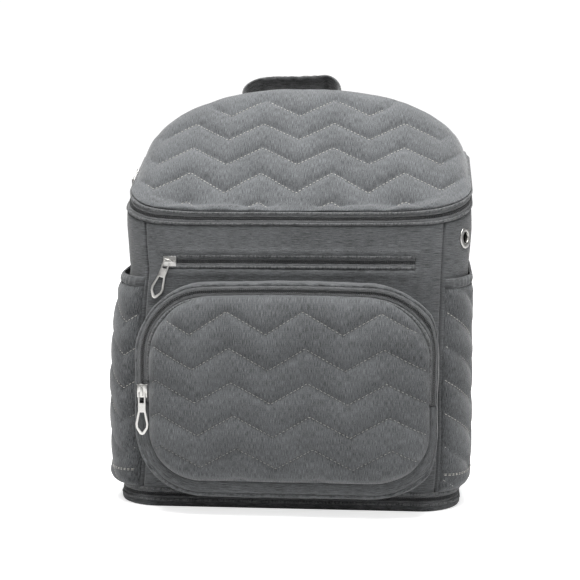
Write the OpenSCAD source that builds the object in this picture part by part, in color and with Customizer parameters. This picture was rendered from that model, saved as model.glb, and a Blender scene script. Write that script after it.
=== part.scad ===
// Diaper backpack: a soft shell on an expandable base, with a domed zip-around lid, a quilted
// front pocket, two side pockets, a flat zip pocket, a carry handle and two shoulder straps.
// +Z is up, the front faces -Y, and the origin is the centre of the base's underside.

/* [Body] */
// Width of the shell across the side panels
body_w = 320; // [300:5:340]
// Front face of the shell, as a distance in front of the origin
front_y = 65; // [60:1:70]
// Radius of the two front corners in plan
corner_r = 40; // [34:1:44]
// Thickness of a padded fabric wall
wall = 4; // [3:0.5:5]
// Half width of the front panel, out to its side seams
seam_x = 136; // [130:1:140]
// Thickness of the padded back panel
back_t = 12; // [8:1:14]

/* [Mouth and lid] */
// Height of the mouth zip at the front
mouth_front_z = 274; // [262:2:280]
// Rise of the mouth zip for each millimetre towards the back
mouth_rise = 0.42; // [0.3:0.02:0.5]
// Height of the lid's crest
crest_z = 388; // [380:2:396]
// Exponent of the lid's arch: 2 is an ellipse, and more is squarer
arch_power = 2.3; // [2:0.1:3]
// Half width of the fabric hinge at the top of the back panel
hinge_half_w = 62; // [40:2:70]

/* [Front pocket] */
// Half width of the pocket
pocket_half_w = 135; // [128:1:136]
// Lowest point of the pocket
pocket_low_z = 20; // [19:1:26]
// Highest point of the pocket
pocket_high_z = 209; // [204:1:222]
// Radius of the pocket's corners
pocket_r = 62; // [50:1:66]
// Plane of the pocket's zip, in front of the origin
pocket_zip_y = 98; // [90:1:102]
// Front face of the pocket, in front of the origin
pocket_face_y = 113; // [108:1:116]
// Height of the two ends of the pocket's zip
zip_end_z = 106; // [90:2:108]
// Height of the fold that the pocket's flap opens about
flap_z = 124; // [124:1:130]

/* [Side pockets] */
// Distance that a side pocket stands out from the shell
side_out = 13; // [10:1:16]
// Height of a side pocket's top edge in the middle
side_top_z = 222; // [190:2:224]

/* [Handle and straps] */
// Angle at which the handle leans back at rest
handle_lean = 40; // [20:5:45]
// Half length of the handle
handle_half_w = 52; // [44:1:56]
// Centre of each shoulder strap from the middle
strap_x = 58; // [54:1:62]
// Width of a padded shoulder strap
strap_w = 58; // [50:1:60]
// Splay of each shoulder strap
strap_splay = 7; // [4:1:9]

/* [Hidden] */
$fn = 96;

half_w = body_w / 2;
gap = 0.4;                       // clearance between neighbouring pieces
far = 400;                       // longer than the bag, for cutting blocks
back_y = 63;                     // front face of the back panel
rear_y = back_y + back_t;
shell_z = 18;                    // lower edge of the shell, above the base zip
tray_h = 7;                      // height of the base tray's rim
lid_rear_y = 55;
crest_y = 36;
lining_inset = 7;
zip_lift = 3.8;                  // slider cross-bar's distance from its zip's plane
mouth_tilt = atan(mouth_rise);
pocket_mid_z = (pocket_low_z + pocket_high_z) / 2;

// Heights above the mouth's tilted plane at which each strip of the mouth zip starts and ends.
lid_edge = 7.6;
piping_band = [5.2, 7.2];
upper_tape_band = [1.8, 3.9];
coil_band = [-1.2, 1.4];
lower_tape_band = [-3.7, -1.6];
mouth_piping_band = [-7, -5];
panel_top = -7.4;

// Height of the mouth's plane at a depth.
function mouth_z(y) = mouth_front_z + mouth_rise * (y + front_y);

// Height that the arch across the bag springs from at a depth.
spring_rise = 0.25;
function spring_z(y) = mouth_front_z + spring_rise * (y + front_y);

// The crown of the arch above its springing: nearly straight from the front, then rounded at the crest.
rise_bend = 0.13;
round_start = 5;
rise_run = crest_y + front_y;
crest_rise = crest_z - spring_z(crest_y);
round_run = crest_y - round_start;
round_k = (spring_rise + crest_rise * (1 - rise_bend) / rise_run)
    / (2 * round_run - round_run * round_run * (1 - rise_bend) / rise_run);
rise_a = crest_rise + round_k * round_run * round_run;
function straight_rise(w) = rise_a * ((1 + rise_bend) * w - rise_bend * w * w);
function lid_rise(y) = straight_rise((y + front_y) / rise_run) - round_k * pow(max(0, y - round_start), 2);

// The arch across the bag: 1 in the middle and 0 at the sides.
function arch(u) = pow(max(0, 1 - pow(min(1, abs(u)), arch_power)), 1 / arch_power);

// How far across the arch the lid reaches at a depth, where the mouth's plane cuts it.
function lid_reach(y) = arch(min(1, (mouth_z(y) - spring_z(y)) / max(lid_rise(y), 1)));

// Half width of the shell in plan at a depth, round the front corners.
function plan_half_w(y) = y < corner_r - front_y
    ? half_w - corner_r + sqrt(max(0, pow(corner_r, 2) - pow(corner_r - front_y - y, 2)))
    : half_w;

// ---------- shared shapes ----------

// The shell's plan outline, drawn in by inset, and open towards the back when rear is far away.
module plan(inset = 0, rear = back_y) {
    centre_x = half_w - corner_r;
    centre_y = corner_r - front_y;
    translate([-centre_x, inset - front_y]) square([2 * centre_x, rear - inset + front_y]);
    translate([inset - half_w, centre_y]) square([2 * (half_w - inset), rear - centre_y]);
    for (side = [-1, 1])
        translate([side * centre_x, centre_y]) circle(corner_r - inset);
}

// A wall that follows the shell's front and sides, from one inset to another.
module shell_wall(outer, inner, low, high, rear = back_y - gap) {
    translate([0, 0, low])
        linear_extrude(high - low)
            difference() {
                plan(outer, rear);
                plan(inner, far);
            }
}

// Everything between two heights above the mouth's tilted plane.
module mouth_slab(low, high) {
    translate([0, -front_y, mouth_front_z])
        rotate([mouth_tilt, 0, 0])
            translate([-far, -far, low * cos(mouth_tilt)])
                cube([2 * far, 2 * far, (high - low) * cos(mouth_tilt)]);
}

// One strip of the mouth zip, round the front and both sides.
module mouth_strip(band, outer, inner) {
    intersection() {
        shell_wall(outer, inner, shell_z, crest_z, lid_rear_y);
        mouth_slab(band[0], band[1]);
    }
}

// The arch of the back panel, drawn in by inset, down to a height.
module arch_outline(inset, low) {
    steps = 40;
    top = [for (i = [0 : steps]) let (u = 1 - 2 * i / steps)
        [(half_w - inset) * sign(u) * pow(abs(u), 0.8),
         spring_z(lid_rear_y) + lid_rise(lid_rear_y) * arch(pow(abs(u), 0.8)) - inset]];
    polygon(concat([[inset - half_w, low], [half_w - inset, low]], top));
}

// A band that follows the arch, between two depths, starting a little above the mouth zip.
module arch_band(outer, inner, from_y, to_y) {
    translate([0, to_y, 0])
        rotate([90, 0, 0])
            linear_extrude(to_y - from_y)
                difference() {
                    arch_outline(outer, 0);
                    arch_outline(inner, -1);
                    translate([-far, -far]) square([2 * far, far + mouth_z(lid_rear_y) + 12]);
                }
}

// The block above the mouth that holds the middle of the arch, where the hinge is.
module hinge_block(half) {
    translate([-half, -far / 2, mouth_front_z]) cube([2 * half, far, far]);
}

// The base's plan outline, drawn in by inset.
module base_plan(inset = 0) {
    rear_r = 14;
    translate([0, 0]) plan(inset, rear_y - rear_r);
    translate([rear_r - half_w, 0]) square([body_w - 2 * rear_r, rear_y - inset]);
    for (side = [-1, 1])
        translate([side * (half_w - rear_r), rear_y - rear_r]) circle(rear_r - inset);
}

module base_ring(outer, inner, low, high) {
    translate([0, 0, low])
        linear_extrude(high - low)
            difference() {
                base_plan(outer);
                base_plan(inner);
            }
}

// The front pocket's outline in its own plane, drawn in by inset.
module pocket_outline(inset = 0) {
    w = pocket_half_w - pocket_r;
    h = (pocket_high_z - pocket_low_z) / 2 - pocket_r;
    r = pocket_r - inset;
    square([2 * w, 2 * (h + r)], center = true);
    square([2 * (w + r), 2 * h], center = true);
    for (x = [-w, w], z = [-h, h])
        translate([x, z]) circle(r);
}

// A slab of the pocket's outline facing the front, between two distances in front of the origin.
module pocket_slab(inset, near, out) {
    translate([0, -near, pocket_mid_z])
        rotate([90, 0, 0])
            linear_extrude(out - near) pocket_outline(inset);
}

module pocket_ring(outer, inner, near, out) {
    difference() {
        pocket_slab(outer, near, out);
        pocket_slab(inner, near - 1, out + 1);
    }
}

module above(z) {
    translate([-far / 2, -far / 2, z + gap]) cube(far);
}

module below(z) {
    translate([-far / 2, -far / 2, z - gap - far]) cube(far);
}

// A zip slider whose zip runs along Z and faces -Y, centred on the coil.
plate = [9, 1.3, 12];
bail_post_z = 3.9;
module slider() {
    color("silver") {
        translate([-plate[0] / 2, -3.1, -plate[2] / 2]) cube(plate);
        for (side = [-1, 1])
            translate([side * 4.1 - 0.4, -3.1, -plate[2] / 2]) cube([0.8, 2.2, plate[2]]);
        for (z = [-bail_post_z, bail_post_z])
            translate([-0.7, -6, z - 0.7]) cube([1.4, 3.4, 1.4]);
        translate([-0.8, -7, -bail_post_z - 0.7]) cube([1.6, 1.6, 2 * bail_post_z + 1.4]);
    }
}

// A zip puller that hangs from the origin towards -Z: an eye, a neck and a pointed loop.
module puller_outline() {
    difference() {
        polygon([[-3.5, 2.1], [3.5, 2.1], [3.5, -14], [5.9, -26], [5.4, -30], [2.2, -35.4], [0, -36.4],
            [-2.2, -35.4], [-5.4, -30], [-5.9, -26], [-3.5, -14]]);
        translate([-2.1, -7]) square([4.2, 8.1]);
        polygon([[-2, -15.5], [2, -15.5], [3.9, -26], [3.5, -29.3], [0, -34], [-3.5, -29.3], [-3.9, -26]]);
    }
}

module puller() {
    color("gainsboro")
        translate([0, 0.6, 0]) rotate([90, 0, 0]) linear_extrude(1.2) puller_outline();
}

// ---------- base ----------

module base_tray() {
    color("dimgray") {
        linear_extrude(2.4) base_plan(0);
        base_ring(0, 2.2, 2.4, tray_h);
    }
}

module base_board() {
    color("black") translate([0, 0, 2.4 + gap]) linear_extrude(2.2) base_plan(4);
}

module base_zip_lower_tape() {
    color([0.12, 0.12, 0.12]) base_ring(1, 2.2, tray_h + gap, 10.4);
}

module base_zip_coil() {
    color([0.08, 0.08, 0.08]) base_ring(0.6, 2.8, 10.8, 13.2);
}

module base_zip_upper_tape() {
    color([0.12, 0.12, 0.12]) base_ring(1, 2.2, 13.6, shell_z - gap);
}

// The gusset lies folded in pleats behind the zip until the zip is opened.
module expansion_gusset() {
    color("dimgray") base_ring(4, 6, tray_h - 1.6, shell_z - 1);
}

base_slider_x = -120;
module at_base_zip() {
    translate([base_slider_x, rear_y - 1.6, 12]) rotate([0, 0, 180]) rotate([0, 90, 0]) children();
}

module base_zip_slider() {
    at_base_zip() slider();
}

module base_zip_puller() {
    at_base_zip() translate([0, -4.25, -3.9]) puller();
}

// ---------- shell ----------

zip_z = 231;
zip_half_w = 116;
module zip_slot() {
    translate([-zip_half_w - 2, -far / 2, zip_z - 7]) cube([2 * zip_half_w, far / 2, 14]);
}

module front_panel() {
    color("dimgray")
        difference() {
            intersection() {
                shell_wall(0, wall, shell_z, crest_z);
                mouth_slab(-far, panel_top);
                translate([gap - seam_x, -far / 2, 0]) cube([2 * (seam_x - gap), far / 2, far]);
            }
            zip_slot();
        }
}

module side_panel(side) {
    color("dimgray")
        intersection() {
            shell_wall(0, wall, shell_z, crest_z);
            mouth_slab(-far, panel_top);
            translate([side > 0 ? seam_x : -far - seam_x, -far / 2, 0]) cube([far, far, far]);
        }
}

// The grommet sits on the right front corner, turned towards the side.
grommet_angle = 62;
grommet_z = 253;
bore_r = 5.5;
module at_grommet() {
    translate([half_w - corner_r, corner_r - front_y, grommet_z])
        rotate([0, 0, grommet_angle - 90])
            rotate([0, 90, 0]) children();
}

module left_side_panel() {
    side_panel(-1);
}

module right_side_panel() {
    color("dimgray")
        difference() {
            side_panel(1);
            at_grommet() cylinder(r = 7, h = corner_r + 10);
            at_grommet() translate([0, 0, corner_r - 1.4]) cylinder(r = 10.4, h = 12);
        }
}

module grommet() {
    color("silver")
        at_grommet()
            difference() {
                union() {
                    translate([0, 0, corner_r - 1.2]) cylinder(r = 10, h = 1.5);
                    translate([0, 0, corner_r - 6.8]) cylinder(r = 6.6, h = 6);
                }
                cylinder(r = bore_r, h = corner_r + 10);
            }
}

module grommet_washer() {
    color("silver")
        at_grommet()
            translate([0, 0, corner_r - 6.5])
                difference() {
                    cylinder(r = 9, h = 1.2);
                    translate([0, 0, -1]) cylinder(r = 6.8, h = 4);
                }
}

module back_panel() {
    color("gray")
        translate([0, rear_y, 0])
            rotate([90, 0, 0])
                linear_extrude(back_t) arch_outline(0, shell_z);
}

module lining() {
    color("slategray")
        difference() {
            intersection() {
                shell_wall(lining_inset, lining_inset + 1, shell_z, crest_z);
                mouth_slab(-far, panel_top);
            }
            at_grommet() cylinder(r = 7, h = corner_r);
        }
}

module inner_slip_pocket() {
    color("slategray") translate([-110, back_y - 2, 60]) cube([220, 1.6, 130]);
}

module back_pad() {
    color("black")
        translate([0, rear_y + 3 + gap / 2, 0])
            rotate([90, 0, 0])
                linear_extrude(3) {
                    translate([-112, 64]) square([224, 236]);
                    translate([-96, 46]) square([192, 272]);
                }
}

// ---------- mouth zip, on the shell ----------

module mouth_piping() {
    color("gray") mouth_strip(mouth_piping_band, -0.8, 2);
}

module mouth_zip_tape() {
    color([0.12, 0.12, 0.12]) mouth_strip(lower_tape_band, 0.6, 1.8);
}

module mouth_zip_coil() {
    color([0.08, 0.08, 0.08]) mouth_strip(coil_band, 0.2, 2.2);
}

module arch_zip_tape() {
    color([0.12, 0.12, 0.12])
        difference() {
            arch_band(0, 1.4, 59.2, back_y - gap);
            hinge_block(hinge_half_w);
        }
}

module lid_hinge_strip() {
    color("gray")
        intersection() {
            arch_band(0.4, 1.8, lid_rear_y + gap, back_y - gap);
            hinge_block(hinge_half_w - 1);
        }
}

// ---------- lid ----------

// A point of the lid, drawn in by inset, from u = -1 to 1 across and v = 0 to 1 front to back.
function lid_point(u, v, inset) =
    let (low_y = inset - front_y, y = low_y + v * (lid_rear_y - low_y), reach = lid_reach(y))
    [u * (reach * plan_half_w(y - inset * (1 - v)) - inset), y,
     max(mouth_z(y) + lid_edge - 0.1 * inset, spring_z(y) + (lid_rise(y) - inset) * arch(u * reach))];

// A closed shell between two insets of the lid's surface, open underneath and at the back.
module lid_shell(outer, inner) {
    across = 28;
    along = 16;
    row = across + 1;
    layer = row * (along + 1);
    us = [for (i = [0 : across]) sin(90 * (2 * i / across - 1))];
    vs = [for (j = [0 : along]) pow(j / along, 1.4)];
    points = [for (inset = [outer, inner]) for (v = vs) for (u = us) lid_point(u, v, inset)];
    rim = concat(
        [for (i = [0 : across - 1]) i],
        [for (j = [0 : along - 1]) across + j * row],
        [for (i = [across : -1 : 1]) i + along * row],
        [for (j = [along : -1 : 1]) j * row]);
    faces = concat(
        [for (j = [0 : along - 1]) for (i = [0 : across - 1]) let (k = i + j * row)
            [k, k + row, k + row + 1, k + 1]],
        [for (j = [0 : along - 1]) for (i = [0 : across - 1]) let (k = layer + i + j * row)
            [k, k + 1, k + row + 1, k + row]],
        [for (i = [0 : len(rim) - 1]) let (a = rim[i], b = rim[(i + 1) % len(rim)])
            [a, b, b + layer, a + layer]]);
    polyhedron(points, faces, convexity = 6);
}

module lid_quilt() {
    color("darkgray") lid_shell(0, wall);
}

module lid_lining() {
    color("slategray") lid_shell(wall + 1.2, wall + 2.2);
}

module lid_piping() {
    color("darkgray") mouth_strip(piping_band, -0.8, 2);
}

module lid_zip_tape() {
    color([0.12, 0.12, 0.12]) mouth_strip(upper_tape_band, 0.6, 1.8);
}

module lid_arch_zip_tape() {
    color([0.12, 0.12, 0.12])
        difference() {
            arch_band(0, 1.4, lid_rear_y + gap, 58.8);
            hinge_block(hinge_half_w);
        }
}

// The two lid sliders meet on the left side, and their pullers hang from them.
lid_zip_x = half_w - 1.2;
lid_slider_y = [9, 27];
module at_lid_zip(y) {
    mirror([1, 0, 0])
        translate([lid_zip_x, y, mouth_z(y)])
            rotate([0, 0, 90])
                rotate([0, 90 - mouth_tilt, 0]) children();
}

// On a level zip the puller hangs plumb from one of the bail's posts.
module lid_puller(y) {
    mirror([1, 0, 0])
        translate([lid_zip_x + 4.25, y, mouth_z(y)]) rotate([0, 0, 90]) puller();
}

module lid_slider_front() {
    at_lid_zip(lid_slider_y[0]) slider();
}

module lid_slider_rear() {
    at_lid_zip(lid_slider_y[1]) slider();
}

module lid_puller_front() {
    lid_puller(lid_slider_y[0] - bail_post_z * cos(mouth_tilt));
}

module lid_puller_rear() {
    lid_puller(lid_slider_y[1] + bail_post_z * cos(mouth_tilt));
}

// ---------- flat zip pocket on the front ----------

module front_zip_tapes() {
    color([0.12, 0.12, 0.12])
        for (z = [zip_z - 7 + gap, zip_z + 1.6])
            translate([gap - zip_half_w - 2, -front_y + 0.8, z]) cube([2 * (zip_half_w - gap), 1.2, 5]);
}

module front_zip_coil() {
    color([0.08, 0.08, 0.08])
        translate([gap - zip_half_w - 2, -front_y + 0.2, zip_z - 1.2])
            cube([2 * (zip_half_w - gap), 2.4, 2.4]);
}

front_slider_x = -111;
module front_zip_slider() {
    translate([front_slider_x, -front_y + 1.4, zip_z]) rotate([0, 90, 0]) slider();
}

front_puller_tilt = 20;
module front_zip_puller() {
    translate([front_slider_x - bail_post_z, -front_y + 1.4 - 4.25, zip_z])
        rotate([0, front_puller_tilt, 0]) puller();
}

module front_zip_bag() {
    color("slategray")
        translate([-zip_half_w - 3, -front_y + wall + gap, 118]) cube([2 * zip_half_w + 2, 2, 124]);
}

// ---------- front pocket ----------

frame_in = 15;                   // from the pocket's edge to its quilted face
module pocket_gusset() {
    color("dimgray") pocket_ring(0, 3, front_y + gap, pocket_zip_y);
}

module pocket_lower_band() {
    color("dimgray")
        intersection() {
            pocket_ring(3 + gap, frame_in - gap, pocket_zip_y - 1, pocket_zip_y + 0.2);
            below(zip_end_z);
        }
}

module pocket_outer_tape() {
    color([0.12, 0.12, 0.12])
        intersection() {
            pocket_ring(3 + gap, 6, pocket_zip_y - 1, pocket_zip_y + 0.2);
            above(zip_end_z);
        }
}

module pocket_zip_coil() {
    color([0.08, 0.08, 0.08])
        intersection() {
            pocket_ring(6.3, 8.7, pocket_zip_y - 1.6, pocket_zip_y + 0.8);
            above(zip_end_z);
        }
}

module pocket_inner_tape() {
    color([0.12, 0.12, 0.12])
        intersection() {
            pocket_ring(9, 11.6, pocket_zip_y - 1, pocket_zip_y + 0.2);
            above(flap_z);
        }
}

module pocket_piping() {
    color("gray")
        intersection() {
            pocket_ring(frame_in - 3, frame_in - gap, pocket_zip_y - 1, pocket_zip_y + 2);
            above(flap_z);
        }
}

// The last lengths of tape below the flap's fold, which stay closed.
module pocket_zip_ends() {
    color([0.12, 0.12, 0.12])
        intersection() {
            pocket_ring(9, frame_in - gap, pocket_zip_y - 1, pocket_zip_y + 0.2);
            above(zip_end_z);
            below(flap_z);
        }
}

// The quilted face is a shallow tray: one fabric panel, in two nodes that meet where it bends.
module pocket_face() {
    difference() {
        pocket_slab(frame_in, pocket_zip_y - 1, pocket_face_y);
        pocket_slab(frame_in + 3, pocket_zip_y - 2, pocket_face_y - 6);
    }
}

module pocket_face_lower() {
    color("gray") intersection() {
        pocket_face();
        below(flap_z);
    }
}

module pocket_face_upper() {
    color("gray") intersection() {
        pocket_face();
        above(flap_z);
    }
}

pocket_slider_z = 116;
module at_pocket_zip() {
    translate([7.5 - pocket_half_w, -pocket_zip_y + 0.4, pocket_slider_z]) children();
}

module pocket_zip_slider() {
    at_pocket_zip() slider();
}

module pocket_zip_puller() {
    at_pocket_zip() translate([0, -4.25, -3.9]) puller();
}

// ---------- side pockets ----------

pocket_rise = 0.1;               // the top edge of a side pocket rises towards the back
hem_h = 10;
module side_sector(side, low, front, rear) {
    translate([side > 0 ? seam_x + 3 : -far - seam_x - 3, front, low]) cube([far, rear - front, far]);
}

module side_pocket_below(top) {
    translate([-far, 0, top]) rotate([atan(pocket_rise), 0, 0]) translate([0, -far, -far])
        cube([2 * far, 2 * far, far]);
}

// A pocket open at the top, between the outside of the shell and its own outer wall.
module side_pocket(side) {
    difference() {
        intersection() {
            shell_wall(-side_out, -gap, shell_z + 1, far, back_y - 5);
            side_sector(side, shell_z + 1, -52, back_y - 5);
            side_pocket_below(side_top_z - hem_h - gap);
        }
        intersection() {
            shell_wall(-side_out + 2.4, -gap / 2, shell_z + 4, far, back_y - 8);
            side_sector(side, shell_z + 4, -49, back_y - 8);
        }
    }
}

module pocket_hem(side) {
    intersection() {
        shell_wall(-side_out, -side_out + 2.4, shell_z, far, back_y - 5);
        side_sector(side, shell_z, -52, back_y - 5);
        side_pocket_below(side_top_z);
        translate([0, 0, side_top_z]) rotate([atan(pocket_rise), 0, 0]) translate([-far, -far, -hem_h])
            cube([2 * far, 2 * far, hem_h]);
    }
}

module left_side_pocket() {
    color("dimgray") side_pocket(-1);
}

module right_side_pocket() {
    color("dimgray") side_pocket(1);
}

module left_pocket_hem() {
    color("dimgray") pocket_hem(-1);
}

module right_pocket_hem() {
    color("dimgray") pocket_hem(1);
}

// ---------- handle and straps ----------

handle_x = -12;
handle_w = 25;
handle_y = rear_y + 0.6 + handle_w / 2 * cos(handle_lean);
handle_z = 360;
handle_h = 59;
handle_t = 5;
module handle_arch(inset) {
    r = 24;
    union() {
        translate([inset - handle_half_w, 0]) square([2 * (handle_half_w - inset), handle_h - r]);
        translate([r - handle_half_w, 0]) square([2 * (handle_half_w - r), handle_h - inset]);
        for (side = [-1, 1])
            translate([side * (handle_half_w - r), handle_h - r]) circle(r - inset);
    }
}

module handle() {
    color("dimgray")
        translate([handle_x, handle_y, handle_z])
            rotate([-handle_lean, 0, 0])
                translate([0, handle_w / 2, 0])
                    rotate([90, 0, 0])
                        linear_extrude(handle_w)
                            difference() {
                                handle_arch(0);
                                translate([0, -1]) handle_arch(handle_t);
                            }
}

yoke_low = 322;
module strap_yoke() {
    color("dimgray")
        translate([-strap_x - strap_w / 2, rear_y + gap, yoke_low]) cube([2 * strap_x + strap_w, 8, 20]);
}

// A strap's side view: a padded band that bows away from the back between two heights.
strap_top = [rear_y + 8.6, yoke_low - gap];
strap_drop = 222;
strap_bow = 24;
strap_t = 9;
function strap_path(t) = [strap_top[0] + strap_bow * pow(sin(180 * pow(t, 0.85)), 1.2) + 4 * t,
    strap_top[1] - strap_drop * t];

module at_strap(side) {
    translate([side * strap_x, 0, yoke_low])
        rotate([0, -side * strap_splay, 0])
            translate([0, 0, -yoke_low]) children();
}

module side_view(width) {
    rotate([90, 0, 90]) translate([0, 0, -width / 2]) linear_extrude(width) children();
}

module shoulder_strap(side) {
    steps = 16;
    color("dimgray")
        intersection() {
            at_strap(side)
                side_view(strap_w)
                    polygon(concat(
                        [for (i = [0 : steps]) strap_path(i / steps) + [-strap_t / 2, 0]],
                        [for (i = [steps : -1 : 0]) strap_path(i / steps) + [strap_t / 2, 0]]));
            translate([-far, 0, yoke_low - gap - far]) cube([2 * far, far, far]);
        }
}

lock_w = 34;
lock_h = 26;
lock_z = strap_top[1] - strap_drop - gap;
lock_y = strap_path(1)[0];
module ladder_lock(side) {
    color("black")
        at_strap(side)
            translate([0, lock_y, lock_z - lock_h / 2])
                difference() {
                    cube([lock_w, 4.4, lock_h], center = true);
                    for (z = [-5.6, 5.6])
                        translate([0, 0, z]) cube([lock_w - 7, 9, 6], center = true);
                }
}

module lower_webbing(side) {
    low = [rear_y + 2.2, 34];
    high = [lock_y, lock_z - lock_h - gap];
    t = 1.6;
    color([0.1, 0.1, 0.1])
        at_strap(side) {
            side_view(25) polygon([low + [-t / 2, 0], low + [t / 2, 0], high + [t / 2, 0], high + [-t / 2, 0]]);
            translate([-12.5, lock_y + 2.6, 24]) cube([25, t, lock_z - 34]);
        }
}

module left_shoulder_strap() {
    shoulder_strap(-1);
}

module right_shoulder_strap() {
    shoulder_strap(1);
}

module left_ladder_lock() {
    ladder_lock(-1);
}

module right_ladder_lock() {
    ladder_lock(1);
}

module left_lower_webbing() {
    lower_webbing(-1);
}

module right_lower_webbing() {
    lower_webbing(1);
}

base_tray();
base_board();
base_zip_lower_tape();
base_zip_coil();
base_zip_slider();
base_zip_puller();
expansion_gusset();
base_zip_upper_tape();
front_panel();
left_side_panel();
right_side_panel();
back_panel();
lining();
inner_slip_pocket();
mouth_piping();
mouth_zip_tape();
mouth_zip_coil();
arch_zip_tape();
lid_hinge_strip();
lid_quilt();
lid_lining();
lid_piping();
lid_zip_tape();
lid_arch_zip_tape();
lid_slider_front();
lid_puller_front();
lid_slider_rear();
lid_puller_rear();
front_zip_tapes();
front_zip_coil();
front_zip_slider();
front_zip_puller();
front_zip_bag();
pocket_gusset();
pocket_lower_band();
pocket_face_lower();
pocket_face_upper();
pocket_piping();
pocket_outer_tape();
pocket_inner_tape();
pocket_zip_ends();
pocket_zip_coil();
pocket_zip_slider();
pocket_zip_puller();
left_side_pocket();
right_side_pocket();
left_pocket_hem();
right_pocket_hem();
grommet();
grommet_washer();
handle();
strap_yoke();
back_pad();
left_shoulder_strap();
right_shoulder_strap();
left_ladder_lock();
right_ladder_lock();
left_lower_webbing();
right_lower_webbing();
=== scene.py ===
"""A quilted diaper backpack: fabric panels, zips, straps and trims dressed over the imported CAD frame."""

import math

import bmesh
import bpy
import numpy as np
from mathutils import Matrix, Vector, noise


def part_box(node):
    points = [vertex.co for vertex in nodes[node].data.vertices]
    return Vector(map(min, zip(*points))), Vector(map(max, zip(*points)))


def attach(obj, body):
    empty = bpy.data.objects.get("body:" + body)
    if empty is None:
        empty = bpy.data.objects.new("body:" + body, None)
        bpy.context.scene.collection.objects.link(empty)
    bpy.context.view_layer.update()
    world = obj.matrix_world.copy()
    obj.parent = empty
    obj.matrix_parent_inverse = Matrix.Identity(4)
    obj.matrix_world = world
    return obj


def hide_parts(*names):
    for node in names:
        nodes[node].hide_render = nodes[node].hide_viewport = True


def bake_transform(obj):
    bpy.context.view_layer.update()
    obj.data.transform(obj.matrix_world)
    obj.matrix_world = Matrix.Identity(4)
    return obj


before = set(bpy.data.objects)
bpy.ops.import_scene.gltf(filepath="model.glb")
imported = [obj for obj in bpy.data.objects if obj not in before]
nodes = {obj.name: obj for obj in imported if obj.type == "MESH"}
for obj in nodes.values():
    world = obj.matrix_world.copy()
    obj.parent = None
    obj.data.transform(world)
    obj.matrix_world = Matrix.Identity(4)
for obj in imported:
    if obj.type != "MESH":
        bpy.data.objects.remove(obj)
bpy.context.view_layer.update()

# ---------------------------------------------------------------- sizes, in millimetres

HALF_W = 160.0  # the shell's half width
FRONT = 65.0  # the shell's front face, ahead of the origin
CORNER = 40.0  # radius of the front corners in plan
BACK = 63.0  # front face of the back panel
REAR = 75.0  # rear face of the back panel
WALL = 4.0  # thickness of the quilted and padded fabric
SHELL_Z = 17.8  # lower edge of the shell
SEAM_X = 136.0  # side seams of the front panel
MOUTH_Z, MOUTH_RISE = 274.0, 0.42  # the mouth zip's height at the front, and its rise per mm of depth
SPRING_RISE = 0.25  # rise per mm of depth of the line that the lid's arch springs from
LID_REAR = 55.0  # depth of the lid's rear edge
CREST_Y, CREST_Z = 36.0, 388.0  # where the lid is highest
LID_EDGE = 7.6  # the lid's lower edge above the mouth zip
ARCH_POWER = 2.3  # how square the arch's shoulders are: 2 is an ellipse
HINGE_X = 62.0  # half width of the lid's hinge strip
ZIP_Z, ZIP_X = 231.0, (-118.0, 114.0)  # the level zip on the front: its height, and its two ends
FLAP_Z, ZIP_END_Z = 124.0, 106.0  # where the pocket's face folds, and where its zip ends
FACE_W, FACE_LOW, FACE_HIGH = 121.0, 34.0, 199.0  # the pocket's face: half width, lower and upper edge
FACE_R_LOW, FACE_R_HIGH = 46.0, 54.0  # radii of its lower and upper corners
POCKET_W, POCKET_LOW, POCKET_HIGH, POCKET_R = 135.0, 20.0, 210.0, 62.0  # the pocket's outline
POCKET_Y = 98.0  # plane of the pocket's zip, ahead of the origin
PIPING_R = 1.5
THICK = 2.2  # thickness of the fabric of the pockets


# ---------------------------------------------------------------- how the loaded bag settles

# How far the soft sides lean from the pattern's own shape at each height: the left side, then the right.
SETTLE_Z = [0, 14, 44, 80, 110, 139, 172, 201, 222, 247, 262, 278, 291, 400]
SETTLE_LEFT = [-4, -4, 0, 0, 0, 0, 1, 4, 7, 4, 3, 3, 7, 7]
SETTLE_RIGHT = [-2, -2, 0, 0, -1, 0, 1, 2, 3, 5, 6, 6, 6, 5]
SETTLE_SIDES, SETTLE_TOP = (100, 150), (262, 290)  # the lean grows over these half widths, or these heights
SETTLE_REAR = 74, 80  # the lean fades out over these depths, so that the straps and the handle stand straight
MOUTH_SAG = 4.6  # how far the middle of the mouth hangs below its corners
POCKET_CROWN = 5.0  # how far the middle of the pocket's top edge stands above its ends
# The full pocket leans over its zip on the right: places across the pocket, and how far each moves.
LEAN_X, LEAN = [-135, -128, -121, -60, 60, 121, 128, 136], [-3, -3, -3.5, -1.5, 2, 7.5, 4.5, 0.5]


def ease(value, low, high):
    """A smooth step from 0 at low to 1 at high."""
    t = np.clip((value - low) / (high - low), 0, 1)
    return t * t * (3 - 2 * t)


def settle(points):
    """The pattern's points, moved to where the loaded fabric hangs."""
    points = np.array(points, float)
    x, y, z = (points[..., k].copy() for k in range(3))
    left, right = np.interp(z, SETTLE_Z, SETTLE_LEFT), np.interp(z, SETTLE_Z, SETTLE_RIGHT)
    share = np.maximum(ease(np.abs(x), *SETTLE_SIDES), ease(z, *SETTLE_TOP)) * (1 - ease(y, *SETTLE_REAR))
    points[..., 0] += share * (left + (right - left) * ease(x, -HALF_W, HALF_W))
    sag = np.exp(-(((z - 285) / 22) ** 2)) * ease(-y, 5, 55) * (1 - ease(np.abs(x), 85, 155))
    points[..., 2] -= MOUTH_SAG * sag
    outward = ease(-y, 68, 94)
    centred = 1 - np.minimum(1, np.abs(x) / POCKET_W) ** 2
    points[..., 2] += POCKET_CROWN * outward * ease(z, 130, 208) * centred
    points[..., 0] += np.interp(x, LEAN_X, LEAN) * ease(-y, 88, 97)
    return points


# ---------------------------------------------------------------- plain helpers

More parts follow.
